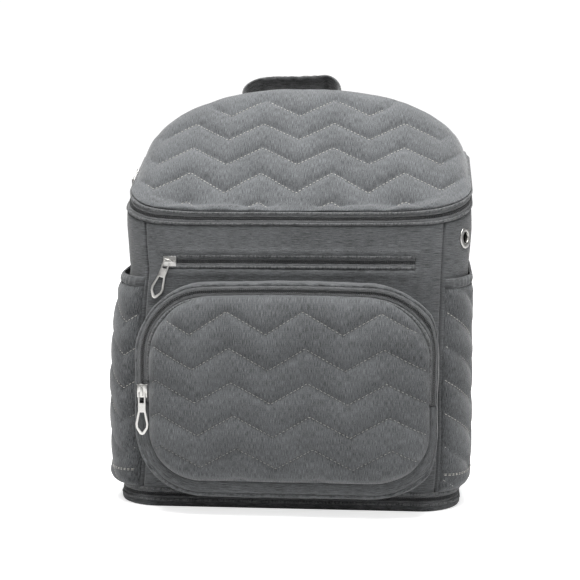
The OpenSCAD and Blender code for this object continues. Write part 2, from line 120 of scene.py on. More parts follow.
def noise_at(points, scale, seed=0.0):
    """Smooth noise from -1 to 1 at each of some points, with features of the given size."""
    flat = np.asarray(points, float).reshape(-1, 3) / scale + seed
    return np.array([noise.noise(Vector(p)) for p in flat]).reshape(np.shape(points)[:-1])


def unit(v):
    return v / np.maximum(np.linalg.norm(v, axis=-1, keepdims=True), 1e-9)


def grid_normals(p):
    """Normals of a grid of points, turning from its first axis to its second."""
    return unit(np.cross(np.gradient(p, axis=0), np.gradient(p, axis=1)))


def linked(name, data):
    """A new object in the scene that shows some data."""
    obj = bpy.data.objects.new(name, data)
    bpy.context.scene.collection.objects.link(obj)
    return obj


def shade_smooth(mesh):
    mesh.polygons.foreach_set("use_smooth", [True] * len(mesh.polygons))


def applied(obj):
    """A plain mesh of an object with its modifiers applied."""
    bpy.context.view_layer.update()
    return bpy.data.meshes.new_from_object(obj.evaluated_get(bpy.context.evaluated_depsgraph_get()))


def new_object(name, verts, faces, material, uv):
    """A smooth mesh object from points in millimetres, with a UV map of 100 mm to the unit."""
    mesh = bpy.data.meshes.new(name)
    mesh.from_pydata((settle(verts) / 1000).tolist(), [], [list(map(int, f)) for f in faces])
    obj = linked(name, mesh)
    mesh.materials.append(material)
    layer = mesh.uv_layers.new(name="UVMap")
    index = np.empty(len(mesh.loops), int)
    mesh.loops.foreach_get("vertex_index", index)
    layer.data.foreach_set("uv", (np.asarray(uv, float)[index] / 100).ravel())
    shade_smooth(mesh)
    mesh.update()
    return obj


def dress(obj, body, slot, *stands_for):
    """Puts a finished piece on its body, in place of the CAD nodes it stands for; slot is not used."""
    if stands_for:
        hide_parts(*stands_for)
    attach(obj, body)


def grid_faces(n, m, offset=0, wrap=False, flip=False):
    """Quads over an n by m grid of points, joined end to start along the first axis if wrap."""
    i = np.arange(n if wrap else n - 1)[:, None]
    j = np.arange(m - 1)[None, :]
    k = (i + 1) % n
    quads = np.stack([i * m + j, k * m + j, k * m + j + 1, i * m + j + 1], -1).reshape(-1, 4) + offset
    return quads[:, ::-1] if flip else quads


def rim_faces(n, m, wrap=False):
    """Quads that join the edges of two n by m grids, the second following the first."""
    step = n * m
    loops = []
    if wrap:
        loops.append([(i % n) * m for i in range(n, -1, -1)])
        loops.append([(i % n) * m + m - 1 for i in range(n + 1)])
    else:
        ring = [i * m for i in range(n)] + [(n - 1) * m + j for j in range(1, m)]
        ring += [i * m + m - 1 for i in range(n - 2, -1, -1)] + [j for j in range(m - 2, -1, -1)]
        loops.append(ring[::-1])
    quads = []
    for ring in loops:
        for a, b in zip(ring[:-1], ring[1:]):
            quads.append([a, b, b + step, a + step])
    return np.array(quads)


def ring_faces(n, m, closed=False):
    """Quads over n rings of m points each, with a cap on each end unless the rings close on themselves."""
    i, j = np.arange(n if closed else n - 1)[:, None], np.arange(m)[None]
    k, l = (i + 1) % n, (j + 1) % m
    faces = np.stack([i * m + j, i * m + l, k * m + l, k * m + j], -1).reshape(-1, 4).tolist()
    return faces if closed else faces + [list(range(m))[::-1], [(n - 1) * m + q for q in range(m)]]


def sheet_object(name, outer, inner, uv, material, wrap=False):
    """A closed sheet between two grids of points, whose outer side faces along grid_normals."""
    n, m = outer.shape[:2]
    verts = np.concatenate([outer.reshape(-1, 3), inner.reshape(-1, 3)])
    faces = np.concatenate(
        [grid_faces(n, m, 0, wrap), grid_faces(n, m, n * m, wrap, flip=True), rim_faces(n, m, wrap)]
    )
    return new_object(name, verts, faces, material, np.concatenate([uv.reshape(-1, 2)] * 2))


def path_frames(path, normals, closed=False):
    """The side and outward directions at each point of a path."""
    if closed:
        tangent = unit(np.roll(path, -1, 0) - np.roll(path, 1, 0))
    else:
        tangent = unit(np.gradient(path, axis=0))
    side = unit(np.cross(tangent, normals))
    return side, unit(np.cross(side, tangent))


def arc_lengths(path):
    """Distance along a path to each of its points."""
    return np.concatenate([[0], np.cumsum(np.linalg.norm(np.diff(path, axis=0), axis=1))])


def sweep(name, path, normals, profile, material, closed=False):
    """A closed profile of (side, normal) points swept along a path, with capped ends unless it closes."""
    path, normals, profile = (np.asarray(x, float) for x in (path, normals, profile))
    side, out = path_frames(path, normals, closed)
    points = path[:, None] + profile[None, :, :1] * side[:, None] + profile[None, :, 1:] * out[:, None]
    uv = np.stack(np.broadcast_arrays(arc_lengths(path)[:, None], arc_lengths(profile)[None]), -1)
    faces = ring_faces(len(path), len(profile), closed)
    return new_object(name, points.reshape(-1, 3), faces, material, uv.reshape(-1, 2))


def round_profile(radius, count=10, centre=(0, 0), flat=1.0):
    """A circle or oval, turning the way that makes a sweep face outwards."""
    a = np.arange(count) * 2 * math.pi / count
    return np.stack([centre[0] + radius * np.cos(a), centre[1] + radius * flat * np.sin(a)], -1)


def strip_profile(low, high, bottom, top, soften=0.3):
    """A flat band from low to high across and bottom to top along the normal, with softened corners."""
    s = soften
    return [(low + s, bottom), (high - s, bottom), (high, bottom + s), (high, top - s),
            (high - s, top), (low + s, top), (low, top - s), (low, bottom + s)]


def resample(path, step):
    """Points a fixed step apart along a path, and the fractional index of each."""
    length = arc_lengths(path)
    at = np.arange(step / 2, length[-1], step)
    index = np.interp(at, length, np.arange(len(path)))
    return np.stack([np.interp(at, length, path[:, c]) for c in range(3)], -1), index


def follow(values, index):
    """Vectors along a path at fractional indices."""
    return np.stack([np.interp(index, np.arange(len(values)), values[:, c]) for c in range(3)], -1)


def copies_tree(unit_object, material):
    """Geometry nodes that put a turned copy of one small object on every point of a mesh."""
    tree = bpy.data.node_groups.new("copies of " + unit_object.name, "GeometryNodeTree")
    tree.interface.new_socket("Points", in_out="INPUT", socket_type="NodeSocketGeometry")
    tree.interface.new_socket("Size", in_out="INPUT", socket_type="NodeSocketFloat")
    tree.interface.new_socket("Result", in_out="OUTPUT", socket_type="NodeSocketGeometry")
    make = tree.nodes.new
    given, result = make("NodeGroupInput"), make("NodeGroupOutput")
    info = make("GeometryNodeObjectInfo")
    info.inputs["Object"].default_value = unit_object
    turn = make("GeometryNodeInputNamedAttribute")
    turn.data_type = "FLOAT_VECTOR"
    turn.inputs["Name"].default_value = "turn"
    place = make("GeometryNodeInstanceOnPoints")
    real, paint = make("GeometryNodeRealizeInstances"), make("GeometryNodeSetMaterial")
    paint.inputs["Material"].default_value = material
    link = tree.links.new
    link(given.outputs["Points"], place.inputs["Points"])
    link(info.outputs["Geometry"], place.inputs["Instance"])
    link(turn.outputs["Attribute"], place.inputs["Rotation"])
    link(given.outputs["Size"], place.inputs["Scale"])
    link(place.outputs["Instances"], real.inputs["Geometry"])
    link(real.outputs["Geometry"], paint.inputs["Geometry"])
    link(paint.outputs["Geometry"], result.inputs["Result"])
    return tree


def copies(name, unit_object, points, along, out, material):
    """One plain mesh of copies of a small object, its X along the path and its Z outwards."""
    mesh = bpy.data.meshes.new(name)
    mesh.from_pydata((settle(points) / 1000).tolist(), [], [])
    holder = linked(name + " points", mesh)
    turns = mesh.attributes.new("turn", "FLOAT_VECTOR", "POINT")
    side = unit(np.cross(out, along))
    out = np.cross(along, side)
    eulers = [Matrix(np.stack(axes, 1).tolist()).to_euler() for axes in zip(along, side, out)]
    turns.data.foreach_set("vector", np.array([list(e) for e in eulers]).ravel())
    modifier = holder.modifiers.new("copies", "NODES")
    modifier.node_group = copies_tree(unit_object, material)
    size = next(s for s in modifier.node_group.interface.items_tree if s.name == "Size")
    modifier[size.identifier] = 1.0
    plain = applied(holder)
    plain.name = name
    obj = linked(name, plain)
    bpy.data.objects.remove(holder)
    plain.materials.clear()
    plain.materials.append(material)
    shade_smooth(plain)
    return obj


def pebble(name, length, width, height, segments=6, rings=4):
    """A small rounded unit for thread stitches and zip teeth, kept out of the scene itself."""
    verts, faces = [(0, 0, height / 2)], []
    for r in range(1, rings):
        t = math.pi * r / rings
        for s in range(segments):
            a = 2 * math.pi * s / segments
            across = length / 2 * math.cos(a), width / 2 * math.sin(a)
            verts.append((across[0] * math.sin(t), across[1] * math.sin(t), height / 2 * math.cos(t)))
    verts.append((0, 0, -height / 2))
    last = len(verts) - 1
    for s in range(segments):
        n = (s + 1) % segments
        faces.append((0, 1 + s, 1 + n))
        for r in range(rings - 2):
            a, b = 1 + r * segments, 1 + (r + 1) * segments
            faces.append((a + s, b + s, b + n, a + n))
        a = 1 + (rings - 2) * segments
        faces.append((last, a + n, a + s))
    mesh = bpy.data.meshes.new(name)
    mesh.from_pydata((np.array(verts) / 1000).tolist(), [], faces)
    return bpy.data.objects.new(name, mesh)


# ---------------------------------------------------------------- materials

def shader(name):
    """A new material, its node tree and its surface node."""
    material = bpy.data.materials.new(name)
    material.use_nodes = True
    tree = material.node_tree
    return material, tree, tree.nodes["Principled BSDF"]


def add(tree, kind, **inputs):
    """A new node, with values for its inputs or its own settings."""
    node = tree.nodes.new(kind)
    for key, value in inputs.items():
        if key in node.inputs:
            node.inputs[key].default_value = value
        else:
            setattr(node, key, value)
    return node


def stretched(tree, source, x, y, z=1.0):
    """A texture's coordinates, scaled apart on each axis."""
    mapping = add(tree, "ShaderNodeMapping")
    mapping.inputs["Scale"].default_value = (x, y, z)
    tree.links.new(source, mapping.inputs["Vector"])
    return mapping.outputs["Vector"]


def maths(tree, operation, a, b):
    """A sum of two numbers or sockets."""
    node = add(tree, "ShaderNodeMath", operation=operation)
    for socket, value in zip(node.inputs, (a, b)):
        if isinstance(value, (int, float)):
            socket.default_value = value
        else:
            tree.links.new(value, socket)
    return node.outputs[0]


def ramp(tree, factor, stops):
    """Colours mixed along stops of (position, colour)."""
    node = add(tree, "ShaderNodeValToRGB")
    for element, (position, colour) in zip(node.color_ramp.elements, (stops[0], stops[-1])):
        element.position, element.color = position, (*colour, 1)
    for position, colour in stops[1:-1]:
        node.color_ramp.elements.new(position).color = (*colour, 1)
    tree.links.new(factor, node.inputs["Fac"])
    return node.outputs["Color"]


def grey(value, tint=0.0):
    """A grey with a slight cool tint."""
    return (value * (1 - tint), value * (1 - tint / 2), value)


UNEVEN = 0.12  # how much a cloth's tone wanders over a few centimetres
WAVE = 6.3  # about how many bands a wave texture has in each unit


def woven(name, dark, light, along, weave=130.0, bump=0.35, rough=0.88, uv=True):
    """Heather cloth: light and dark threads streak one way, over a fine weave.

    along is the number of streaks in each 100 mm across U and V, and weave the threads in each 100 mm.
    """
    material, tree, surface = shader(name)
    where = add(tree, "ShaderNodeTexCoord").outputs["UV" if uv else "Object"]
    if not uv:
        where = stretched(tree, where, 10, 10, 10)
    streaks = add(tree, "ShaderNodeTexNoise", Scale=1.0, Detail=3.0, Roughness=0.7)
    tree.links.new(stretched(tree, where, along[0], along[1], along[0]), streaks.inputs["Vector"])
    broad = add(tree, "ShaderNodeTexNoise", Scale=1.0, Detail=2.0, Roughness=0.5)
    wide, long = (2.2, 3.5) if along[0] > along[1] else (3.5, 2.2)
    broad_place = stretched(tree, where, along[0] / wide, along[1] / long, along[0] / wide)
    tree.links.new(broad_place, broad.inputs["Vector"])
    patches = add(tree, "ShaderNodeTexNoise", Scale=2.2, Detail=3.0, Roughness=0.6)
    tree.links.new(where, patches.inputs["Vector"])
    halves = [maths(tree, "MULTIPLY", layer.outputs["Fac"], 0.5) for layer in (streaks, broad)]
    wander = maths(tree, "MULTIPLY", maths(tree, "SUBTRACT", patches.outputs["Fac"], 0.5), UNEVEN)
    factor = maths(tree, "ADD", maths(tree, "ADD", *halves), wander)
    middle = tuple((a + b) / 2 for a, b in zip(dark, light))
    colour = ramp(tree, factor, [(0.4, dark), (0.5, middle), (0.6, light)])
    tree.links.new(colour, surface.inputs["Base Color"])
    warp = add(tree, "ShaderNodeTexWave", Scale=1.0, Distortion=0.6)
    tree.links.new(stretched(tree, where, weave / WAVE, 0.0, 0.0), warp.inputs["Vector"])
    weft = add(tree, "ShaderNodeTexWave", Scale=1.0, Distortion=0.6, bands_direction="Y")
    tree.links.new(stretched(tree, where, 0.0, weave / WAVE, 0.0), weft.inputs["Vector"])
    threads = maths(tree, "MULTIPLY", warp.outputs["Fac"], weft.outputs["Fac"])
    height = maths(tree, "ADD", maths(tree, "MULTIPLY", threads, 0.5), streaks.outputs["Fac"])
    relief = add(tree, "ShaderNodeBump", Strength=bump, Distance=0.0004)
    tree.links.new(height, relief.inputs["Height"])
    tree.links.new(relief.outputs["Normal"], surface.inputs["Normal"])
    surface.inputs["Roughness"].default_value = rough
    surface.inputs["Sheen Weight"].default_value = 0.25
    surface.inputs["Sheen Roughness"].default_value = 0.5
    surface.inputs["Specular IOR Level"].default_value = 0.25
    return material


GLOSS_SPREAD = 0.06  # how far a hard finish's roughness strays from its mean


def smooth_finish(name, colour, rough, grain, metal=0.0, bump=0.05):
    """A hard finish with faint mottling, fine scratches and uneven gloss."""
    material, tree, surface = shader(name)
    where = add(tree, "ShaderNodeTexCoord").outputs["Object"]
    mottle = add(tree, "ShaderNodeTexNoise", Scale=grain, Detail=4.0, Roughness=0.6)
    tree.links.new(where, mottle.inputs["Vector"])
    low, high = (tuple(c * k for c in colour) for k in (0.86, 1.08))
    tree.links.new(ramp(tree, mottle.outputs["Fac"], [(0.3, low), (0.7, high)]), surface.inputs["Base Color"])
    gloss = maths(tree, "MULTIPLY", mottle.outputs["Fac"], 2 * GLOSS_SPREAD)
    gloss = maths(tree, "ADD", gloss, rough - GLOSS_SPREAD)
    tree.links.new(gloss, surface.inputs["Roughness"])
    relief = add(tree, "ShaderNodeBump", Strength=bump, Distance=0.0002)
    tree.links.new(mottle.outputs["Fac"], relief.inputs["Height"])
    tree.links.new(relief.outputs["Normal"], surface.inputs["Normal"])
    surface.inputs["Metallic"].default_value = metal
    return material


HEATHER = woven("heather cloth, threads across", grey(0.030, 0.07), grey(0.135, 0.07), (36.0, 520.0))
# The lid and the front quilts are the same cloth. The lid's copy is painted lighter for the light from above, and
# the front's copy, on the pocket face and side pockets, is the darker, shaded one.
LID_CLOTH_PAINTED_LIGHT = woven("heather cloth, threads down", grey(0.038, 0.08), grey(0.165, 0.08), (560.0, 62.0))
FRONT_CLOTH_PAINTED_SHADE = woven("dark heather cloth, threads down", grey(0.030, 0.08), grey(0.134, 0.08), (560.0, 62.0))
BASE_CLOTH = woven("dark heather cloth", grey(0.030, 0.06), grey(0.120, 0.06), (36.0, 360.0))
PIPING = woven("piping cloth", grey(0.036, 0.05), grey(0.145, 0.05), (120.0, 90.0), bump=0.25)
LINING = woven("smooth lining cloth", grey(0.16, 0.1), grey(0.23, 0.1), (140.0, 140.0),
               220.0, 0.12, 0.6, uv=False)
TAPE = woven("zip tape", grey(0.055, 0.05), grey(0.150, 0.05), (60.0, 400.0), weave=260.0, bump=0.4, rough=0.8)
WEBBING = woven("woven webbing", grey(0.022, 0.04), grey(0.115, 0.04), (40.0, 300.0), weave=90.0, bump=0.7)
MESH_CLOTH = woven("spacer mesh", grey(0.010, 0.05), grey(0.060, 0.05), (110.0, 110.0), weave=60.0, bump=0.9)
THREAD, GREY_THREAD, DARK_THREAD = (
    woven(name, dark, light, (300.0, 300.0), bump=0.2, rough=0.6, uv=False)
    for name, dark, light in (
        ("light thread", (0.33, 0.318, 0.29), (0.54, 0.52, 0.475)),
        ("grey thread", (0.19, 0.185, 0.17), (0.34, 0.33, 0.305)),
        ("dark thread", grey(0.05), grey(0.14)),
    )
)
COIL = smooth_finish("nylon coil", grey(0.045, 0.05), 0.42, grain=1500.0, bump=0.1)
METAL = smooth_finish("satin nickel", (0.66, 0.65, 0.63), 0.30, metal=1.0, grain=1200.0)
PLASTIC = smooth_finish("moulded plastic", grey(0.018), 0.5, grain=1800.0, bump=0.15)
BOARD = smooth_finish("covered board", grey(0.05, 0.05), 0.7, grain=700.0, bump=0.3)


# ---------------------------------------------------------------- the bag's own surfaces

def mouth_z(y):
    """Height of the mouth zip's plane at a depth."""
    return MOUTH_Z + MOUTH_RISE * (np.asarray(y, float) + FRONT)


def spring_z(y):
    """Height that the lid's arch springs from at a depth."""
    return MOUTH_Z + SPRING_RISE * (np.asarray(y, float) + FRONT)


RISE_BEND, ROUND_START = 0.13, 5.0  # how the lid's slope eases upwards, and where it turns over its crest
RISE_RUN = CREST_Y + FRONT
CREST_RISE = CREST_Z - float(spring_z(CREST_Y))
ROUND_RUN = CREST_Y - ROUND_START
ROUND_K = (SPRING_RISE + CREST_RISE * (1 - RISE_BEND) / RISE_RUN) / (
    2 * ROUND_RUN - ROUND_RUN**2 * (1 - RISE_BEND) / RISE_RUN
)
RISE_A = CREST_RISE + ROUND_K * ROUND_RUN**2


def lid_rise(y):
    """Height of the lid's crown above its springing at a depth."""
    y = np.asarray(y, float)
    w = (y + FRONT) / RISE_RUN
    return RISE_A * ((1 + RISE_BEND) * w - RISE_BEND * w * w) - ROUND_K * np.maximum(0, y - ROUND_START) ** 2


def arch(u):
    """Height of a unit arch at a place from -1 to 1 across it."""
    return np.maximum(0, 1 - np.minimum(1, np.abs(u)) ** ARCH_POWER) ** (1 / ARCH_POWER)


def plan_half_w(y):
    """Half width of the shell's plan at a depth."""
    y = np.asarray(y, float)
    round_off = np.sqrt(np.maximum(0, CORNER**2 - np.minimum(CORNER, np.maximum(0, CORNER - FRONT - y)) ** 2))
    return np.where(y < CORNER - FRONT, HALF_W - CORNER + round_off, HALF_W)


def lid_half_w(y):
    """Half width of the lid at a depth, where the mouth's plane cuts its arch."""
    return plan_half_w(y) * arch(np.minimum(1, (mouth_z(y) - spring_z(y)) / np.maximum(lid_rise(y), 1)))


def lid_height(x, y):
    """Height of the lid's outer surface over a point of the plan."""
    edge = mouth_z(y) + LID_EDGE
    over = spring_z(y) + lid_rise(y) * arch(np.asarray(x, float) / plan_half_w(y)) - edge
    return edge + (over + np.sqrt(over**2 + 6.0)) / 2


def lid_front_point(x, z):
    """The point at height z on the lid's front slope, or None above the crest or beyond the side."""
    low, high = -FRONT, CREST_Y
    if lid_height(x, high) < z:
        return None
    for _ in range(40):
        y = (low + high) / 2
        low, high = (y, high) if abs(x) > lid_half_w(y) or lid_height(x, y) < z else (low, y)
    return None if abs(x) > lid_half_w(high) - 0.5 else (x, high, float(lid_height(x, high)))


# Lengths along the shell's wall: each side, each corner's arc, the front, and all of them.
SIDE_RUN, TURN, FRONT_RUN = BACK - (CORNER - FRONT), CORNER * math.pi / 2, 2 * (HALF_W - CORNER)
PERIMETER = 2 * SIDE_RUN + 2 * TURN + FRONT_RUN


def plan_at(s, out=0.0):
    """Plan point and outward normal at a distance along the shell's wall from its left rear edge."""
    s = np.asarray(s, float)
    first, last = SIDE_RUN + TURN, SIDE_RUN + TURN + FRONT_RUN  # where the front starts and ends
    a = sum(np.clip((s - start) / CORNER, 0, math.pi / 2) for start in (SIDE_RUN, last))
    normal = np.stack([-np.cos(a), -np.sin(a), np.zeros_like(a)], -1)
    left_half = s < PERIMETER / 2
    x = np.where(left_half, CORNER - HALF_W, HALF_W - CORNER)
    x = x + np.where((s > first) & (s < last), s - np.where(left_half, first, last), 0)
    y = CORNER - FRONT + np.maximum(0, SIDE_RUN - s) + np.maximum(0, s - PERIMETER + SIDE_RUN)
    centre = np.stack([x, y, np.zeros_like(x)], -1)
    return centre + normal * (CORNER + np.asarray(out, float)[..., None]), normal


def s_of_x(x):
    """Distance along the wall of a point of the front, given its x."""
    if abs(x) <= HALF_W - CORNER:
        return PERIMETER / 2 + x
    turn = CORNER * math.asin((abs(x) - HALF_W + CORNER) / CORNER)
    return PERIMETER / 2 + math.copysign(FRONT_RUN / 2 + turn, x)


def chevrons(a, b, peak, period, first, spacing, swing):
    """Position between two zigzag rows of stitches: the row's number, with its fraction from 0 to 1."""
    phase = np.mod((np.asarray(a, float) - peak) / period, 1)
    d = np.minimum(phase, 1 - phase)
    return (np.asarray(b, float) - first + 2 * swing * d) / spacing


def puff(row, height, power=2.4):
    """Height of the wadding between two rows of stitches."""
    q = np.mod(row, 1)
    return height * (1 - np.abs(2 * q - 1) ** power)


def zigzag(k, a, peak, period, first, spacing, swing):
    """Height of row k of the stitches at a place across."""
    phase = np.mod((a - peak) / period, 1)
    return first + k * spacing - 2 * swing * np.minimum(phase, 1 - phase)


def edge_fade(distance, reach):
    """From 0 at an edge to 1 at a reach from it, steepest at the edge."""
    return np.clip(distance / reach, 0, 1) ** 0.6


STITCH = pebble("stitch", 2.7, 0.62, 0.5)
TOOTH = pebble("tooth", 1.15, 2.6, 1.5)
FINE_STITCH = pebble("fine stitch", 2.6, 0.45, 0.35)


def stitch_row(path, out, step, lift):
    """Points, directions and normals of one row of stitches along a path."""
    points, index = resample(path, step)
    normals = unit(follow(out, index))
    along = unit(follow(np.gradient(path, axis=0), index))
    return points + normals * lift, along, normals


class Stitching:
    """Collects rows of stitches and turns them into one mesh."""

    def __init__(self, name, unit_object=STITCH, material=THREAD, step=3.7, lift=0.25):
        self.name, self.unit, self.material, self.step, self.lift = name, unit_object, material, step, lift
        self.rows = []

    def add(self, path, out):
        """A row along a whole path, unless it is too short for two stitches."""
        path, out = np.asarray(path), np.asarray(out)
        if len(path) > 2 and arc_lengths(path)[-1] > 2 * self.step:
            self.rows.append(stitch_row(path, out, self.step, self.lift))

    def add_parts(self, path, out, inside):
        """A row along each stretch of a path that is inside."""
        for part in np.split(np.arange(len(path)), np.flatnonzero(np.diff(inside.astype(int))) + 1):
            if inside[part[0]]:
                self.add(path[part], out[part])

    def make(self):
        points, along, out = (np.concatenate(part) for part in zip(*self.rows))
        return copies(self.name, self.unit, points, along, out, self.material)


# ---------------------------------------------------------------- lid

LID_ROWS = dict(peak=-35.5, period=67.0, first=289.5, spacing=22.8, swing=15.5)
LID_PUFF = 3.8  # height of the wadding between two rows
LID_FULL = 5.0  # how far the stuffing lifts the crest and sides, where the quilting is not felt


def lid_creases(points):
    """Uneven slackness of the lid's fabric, apart from its quilting."""
    return -0.4 + 0.8 * noise_at(points, 38, 3.1) + 0.4 * noise_at(points, 13, 7.7)


def lid_grid(nu=231, nv=131):
    """The lid's surface without its quilting, as places across from -1 to 1 and as points."""
    spread = math.pi / 2 * 0.94
    u = np.sin(np.linspace(-1, 1, nu) * spread) / math.sin(spread)
    y = -FRONT + np.linspace(0, 1, nv) ** 1.12 * (LID_REAR + FRONT)
    U, Y = np.meshgrid(u, y, indexing="ij")
    X = U * lid_half_w(Y)
    Z = lid_height(X, Y)
    return U, np.stack([X, Y, Z], -1)


def steps_along(grid):
    """Length of the step that leads to each point along a grid's second axis."""
    return np.pad(np.linalg.norm(np.diff(grid, axis=1), axis=-1), ((0, 0), (1, 0)))


def build_lid():
    U, base = lid_grid()
    normals = grid_normals(base)
    normals[0] = (-1, 0, 0)
    normals[-1] = (1, 0, 0)
    row = chevrons(base[..., 0], base[..., 2], **LID_ROWS)
    side_gap = (1 - np.abs(U)) * 90 + 1
    front_gap, rear_gap = (np.linalg.norm(base - edge, axis=-1) for edge in (base[:, :1], base[:, -1:]))
    fade = edge_fade(np.minimum(np.minimum(front_gap, rear_gap), side_gap), 9)
    facing = np.clip(-normals[..., 1] * 1.9 - 0.25, 0.12, 1)
    height = (puff(row, LID_PUFF) * facing + LID_FULL * (1 - facing) + lid_creases(base)) * fade
    outer = base + normals * height[..., None]
    inner, upper, lower = (base - normals * depth for depth in (WALL, WALL + 0.15, WALL + 0.95))
    for layer, gap in ((inner, 0), (upper, 0.1), (lower, 0.1)):
        layer[..., 2] = np.maximum(layer[..., 2], mouth_z(layer[..., 1]) + LID_EDGE + gap)
    uv = np.stack([base[..., 0], np.cumsum(steps_along(base), 1)], -1)
    quilt = sheet_object("lid_quilt_panel", outer, inner, uv, LID_CLOTH_PAINTED_LIGHT)
    dress(quilt, "lid", "quilted_fabric", "lid_quilt")
    lining = sheet_object("lid_lining_cloth", upper, lower, uv, LINING)
    dress(lining, "lid", "lining_fabric", "lid_lining")
    sewing = Stitching("lid_quilt_stitches")
    for k in range(0, 6):
        line, out = [], []
        for x in np.arange(-158, 158.1, 2.0):
            point = lid_front_point(x, zigzag(k, x, **LID_ROWS))
            if point is None or point[1] < -FRONT + 1:
                sewing.add(line, out)
                line, out = [], []
                continue
            near = [lid_height(x + d, point[1]) for d in (-1, 1)], [lid_height(x, point[1] + d) for d in (-1, 1)]
            slope = (near[0][1] - near[0][0]) / 2, (near[1][1] - near[1][0]) / 2
            away = unit(np.array([-slope[0], -slope[1], 1.0]))
            line.append(np.array(point) + away * float(lid_creases(np.array([point]))[0] + 0.25))
            out.append(away)
        sewing.add(line, out)
    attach(sewing.make(), "lid")


# ---------------------------------------------------------------- shell walls

def wall_top(s):
    """Height of the wall's upper edge, which is sewn to the mouth's piping."""
    return mouth_z(plan_at(s)[0][..., 1]) - 7.4


def in_zip(s, beyond=0.0):
    """Whether a place along the wall is within the level zip, or up to a distance beyond its ends."""
    return (s > s_of_x(ZIP_X[0]) - beyond) & (s < s_of_x(ZIP_X[1]) + beyond)


def wall_shape(s, z):
    """How far the shell's fabric stands out from its plan: slack between seams, pulled in at them."""
    x_front = np.abs(s - PERIMETER / 2)
    seam = abs(s_of_x(SEAM_X) - PERIMETER / 2)
    groove = -2.6 * np.exp(-(((x_front - seam) / 0.9) ** 2))
    groove = groove + 0.35 * np.exp(-(((np.abs(x_front - seam) - 3.4) / 2.2) ** 2))
    top = wall_top(s)
    rise = np.clip((z - SHELL_Z) / np.maximum(top - SHELL_Z, 1), 0, 1)
    slack = 1.6 * np.sin(math.pi * rise) ** 0.8
    points = np.stack([s, z, 0 * z], -1)
    wrinkle = 0.9 * noise_at(points * (1, 0.55, 1), 34, 1.7) + 0.5 * noise_at(points * (0.5, 1, 1), 15, 5.2)
    edge = np.clip(np.minimum(z - SHELL_Z, top - z) / 10, 0, 1)
    slot = np.where((np.abs(z - ZIP_Z) < 6.4) & in_zip(s), -1.9, 0)
    lips = 1.6 * np.exp(-(((np.abs(z - ZIP_Z) - 8.4) / 2.1) ** 2)) * in_zip(s, 3)
    eyelet_s, eyelet_z = eyelet_place()
    flat = np.exp(-((np.hypot(s - eyelet_s, z - eyelet_z) / 12.5) ** 4))
    return (groove + (slack + wrinkle) * edge) * (1 - flat) - 0.2 * flat + slot + lips


def eyelet_place():
    """Where the cable grommet sits on the wall: the distance along it, and the height."""
    low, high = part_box("grommet")
    middle = (Vector(low) + Vector(high)) * 500
    turn = math.atan2(CORNER - FRONT - middle.y, HALF_W - CORNER - middle.x)
    return SIDE_RUN + TURN + FRONT_RUN + CORNER * (turn - math.pi / 2), middle.z


EYELET_R = 6.7


def cut_eyelet(obj):
    """Opens the wall's fabric where the grommet passes through it."""
    along, height = eyelet_place()
    middle, normal = plan_at(along)
    mesh = bmesh.new()
    turn = Vector(normal.tolist()).to_track_quat("Z", "Y").to_matrix().to_4x4()
    middle[2] = height
    place = Matrix.Translation(Vector(middle.tolist()) / 1000)
    bmesh.ops.create_cone(mesh, cap_ends=True, segments=32, radius1=EYELET_R / 1000, radius2=EYELET_R / 1000,
                          depth=0.03, matrix=place @ turn)
    data = bpy.data.meshes.new("eyelet cutter")
    mesh.to_mesh(data)
    mesh.free()
    cutter = linked("eyelet cutter", data)
    cutter.location = Vector((settle(middle) - middle).tolist()) / 1000
    cut = obj.modifiers.new("eyelet", "BOOLEAN")
    cut.operation, cut.object, cut.solver = "DIFFERENCE", cutter, "EXACT"
    plain = applied(obj)
    obj.modifiers.clear()
    obj.data = plain
    bpy.data.objects.remove(cutter)


def build_walls():
    seams = [s_of_x(x) + np.array([-3, -1.5, -0.6, 0, 0.6, 1.5, 3]) for x in (-SEAM_X, SEAM_X)]
    zip_ends = [s_of_x(x) + np.array([-0.3, 0.3]) for x in ZIP_X]
    s = np.unique(np.concatenate([np.linspace(0.2, PERIMETER - 0.2, 190), *seams, *zip_ends]))
    S = np.repeat(s[:, None], 62, 1)
    Z = SHELL_Z + np.linspace(0, 1, 62)[None] * (wall_top(S) - SHELL_Z)
    front = np.flatnonzero(np.abs(s - PERIMETER / 2) < FRONT_RUN / 2 + 20)
    for level in (-6.7, -6.1, 6.1, 6.7, -8.2, 8.2):  # rows of points along the edges of the zip's slot
        Z[front, np.abs(Z - ZIP_Z - level).argmin(axis=1)[front]] = ZIP_Z + level
    Z = np.sort(Z, axis=1)
    outer, inner = (plan_at(S, out)[0] for out in (wall_shape(S, Z), np.full_like(S, -WALL)))
    outer[..., 2], inner[..., 2] = Z, Z
    obj = sheet_object("shell_wall_fabric", outer, inner, np.stack([S, Z], -1), HEATHER)
    cut_eyelet(obj)
    dress(obj, "shell", "body_fabric", "front_panel", "left_side_panel", "right_side_panel")
    sewing = Stitching("front_zip_welt_stitches", FINE_STITCH, DARK_THREAD, 3.4, 0.1)
    for z in (ZIP_Z - 10.4, ZIP_Z + 10.4):
        x = np.arange(ZIP_X[0] - 2, ZIP_X[1] + 2, 3.0)
        ss = np.array([s_of_x(v) for v in x])
        path, normal = plan_at(ss, wall_shape(ss, np.full_like(ss, z)))
        path[:, 2] = z
        sewing.add(path, normal)
    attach(sewing.make(), "shell")


def rear_arch(x):
    """Height of the arch at the back of the bag."""
    return float(spring_z(LID_REAR)) + float(lid_rise(LID_REAR)) * arch(x / HALF_W)


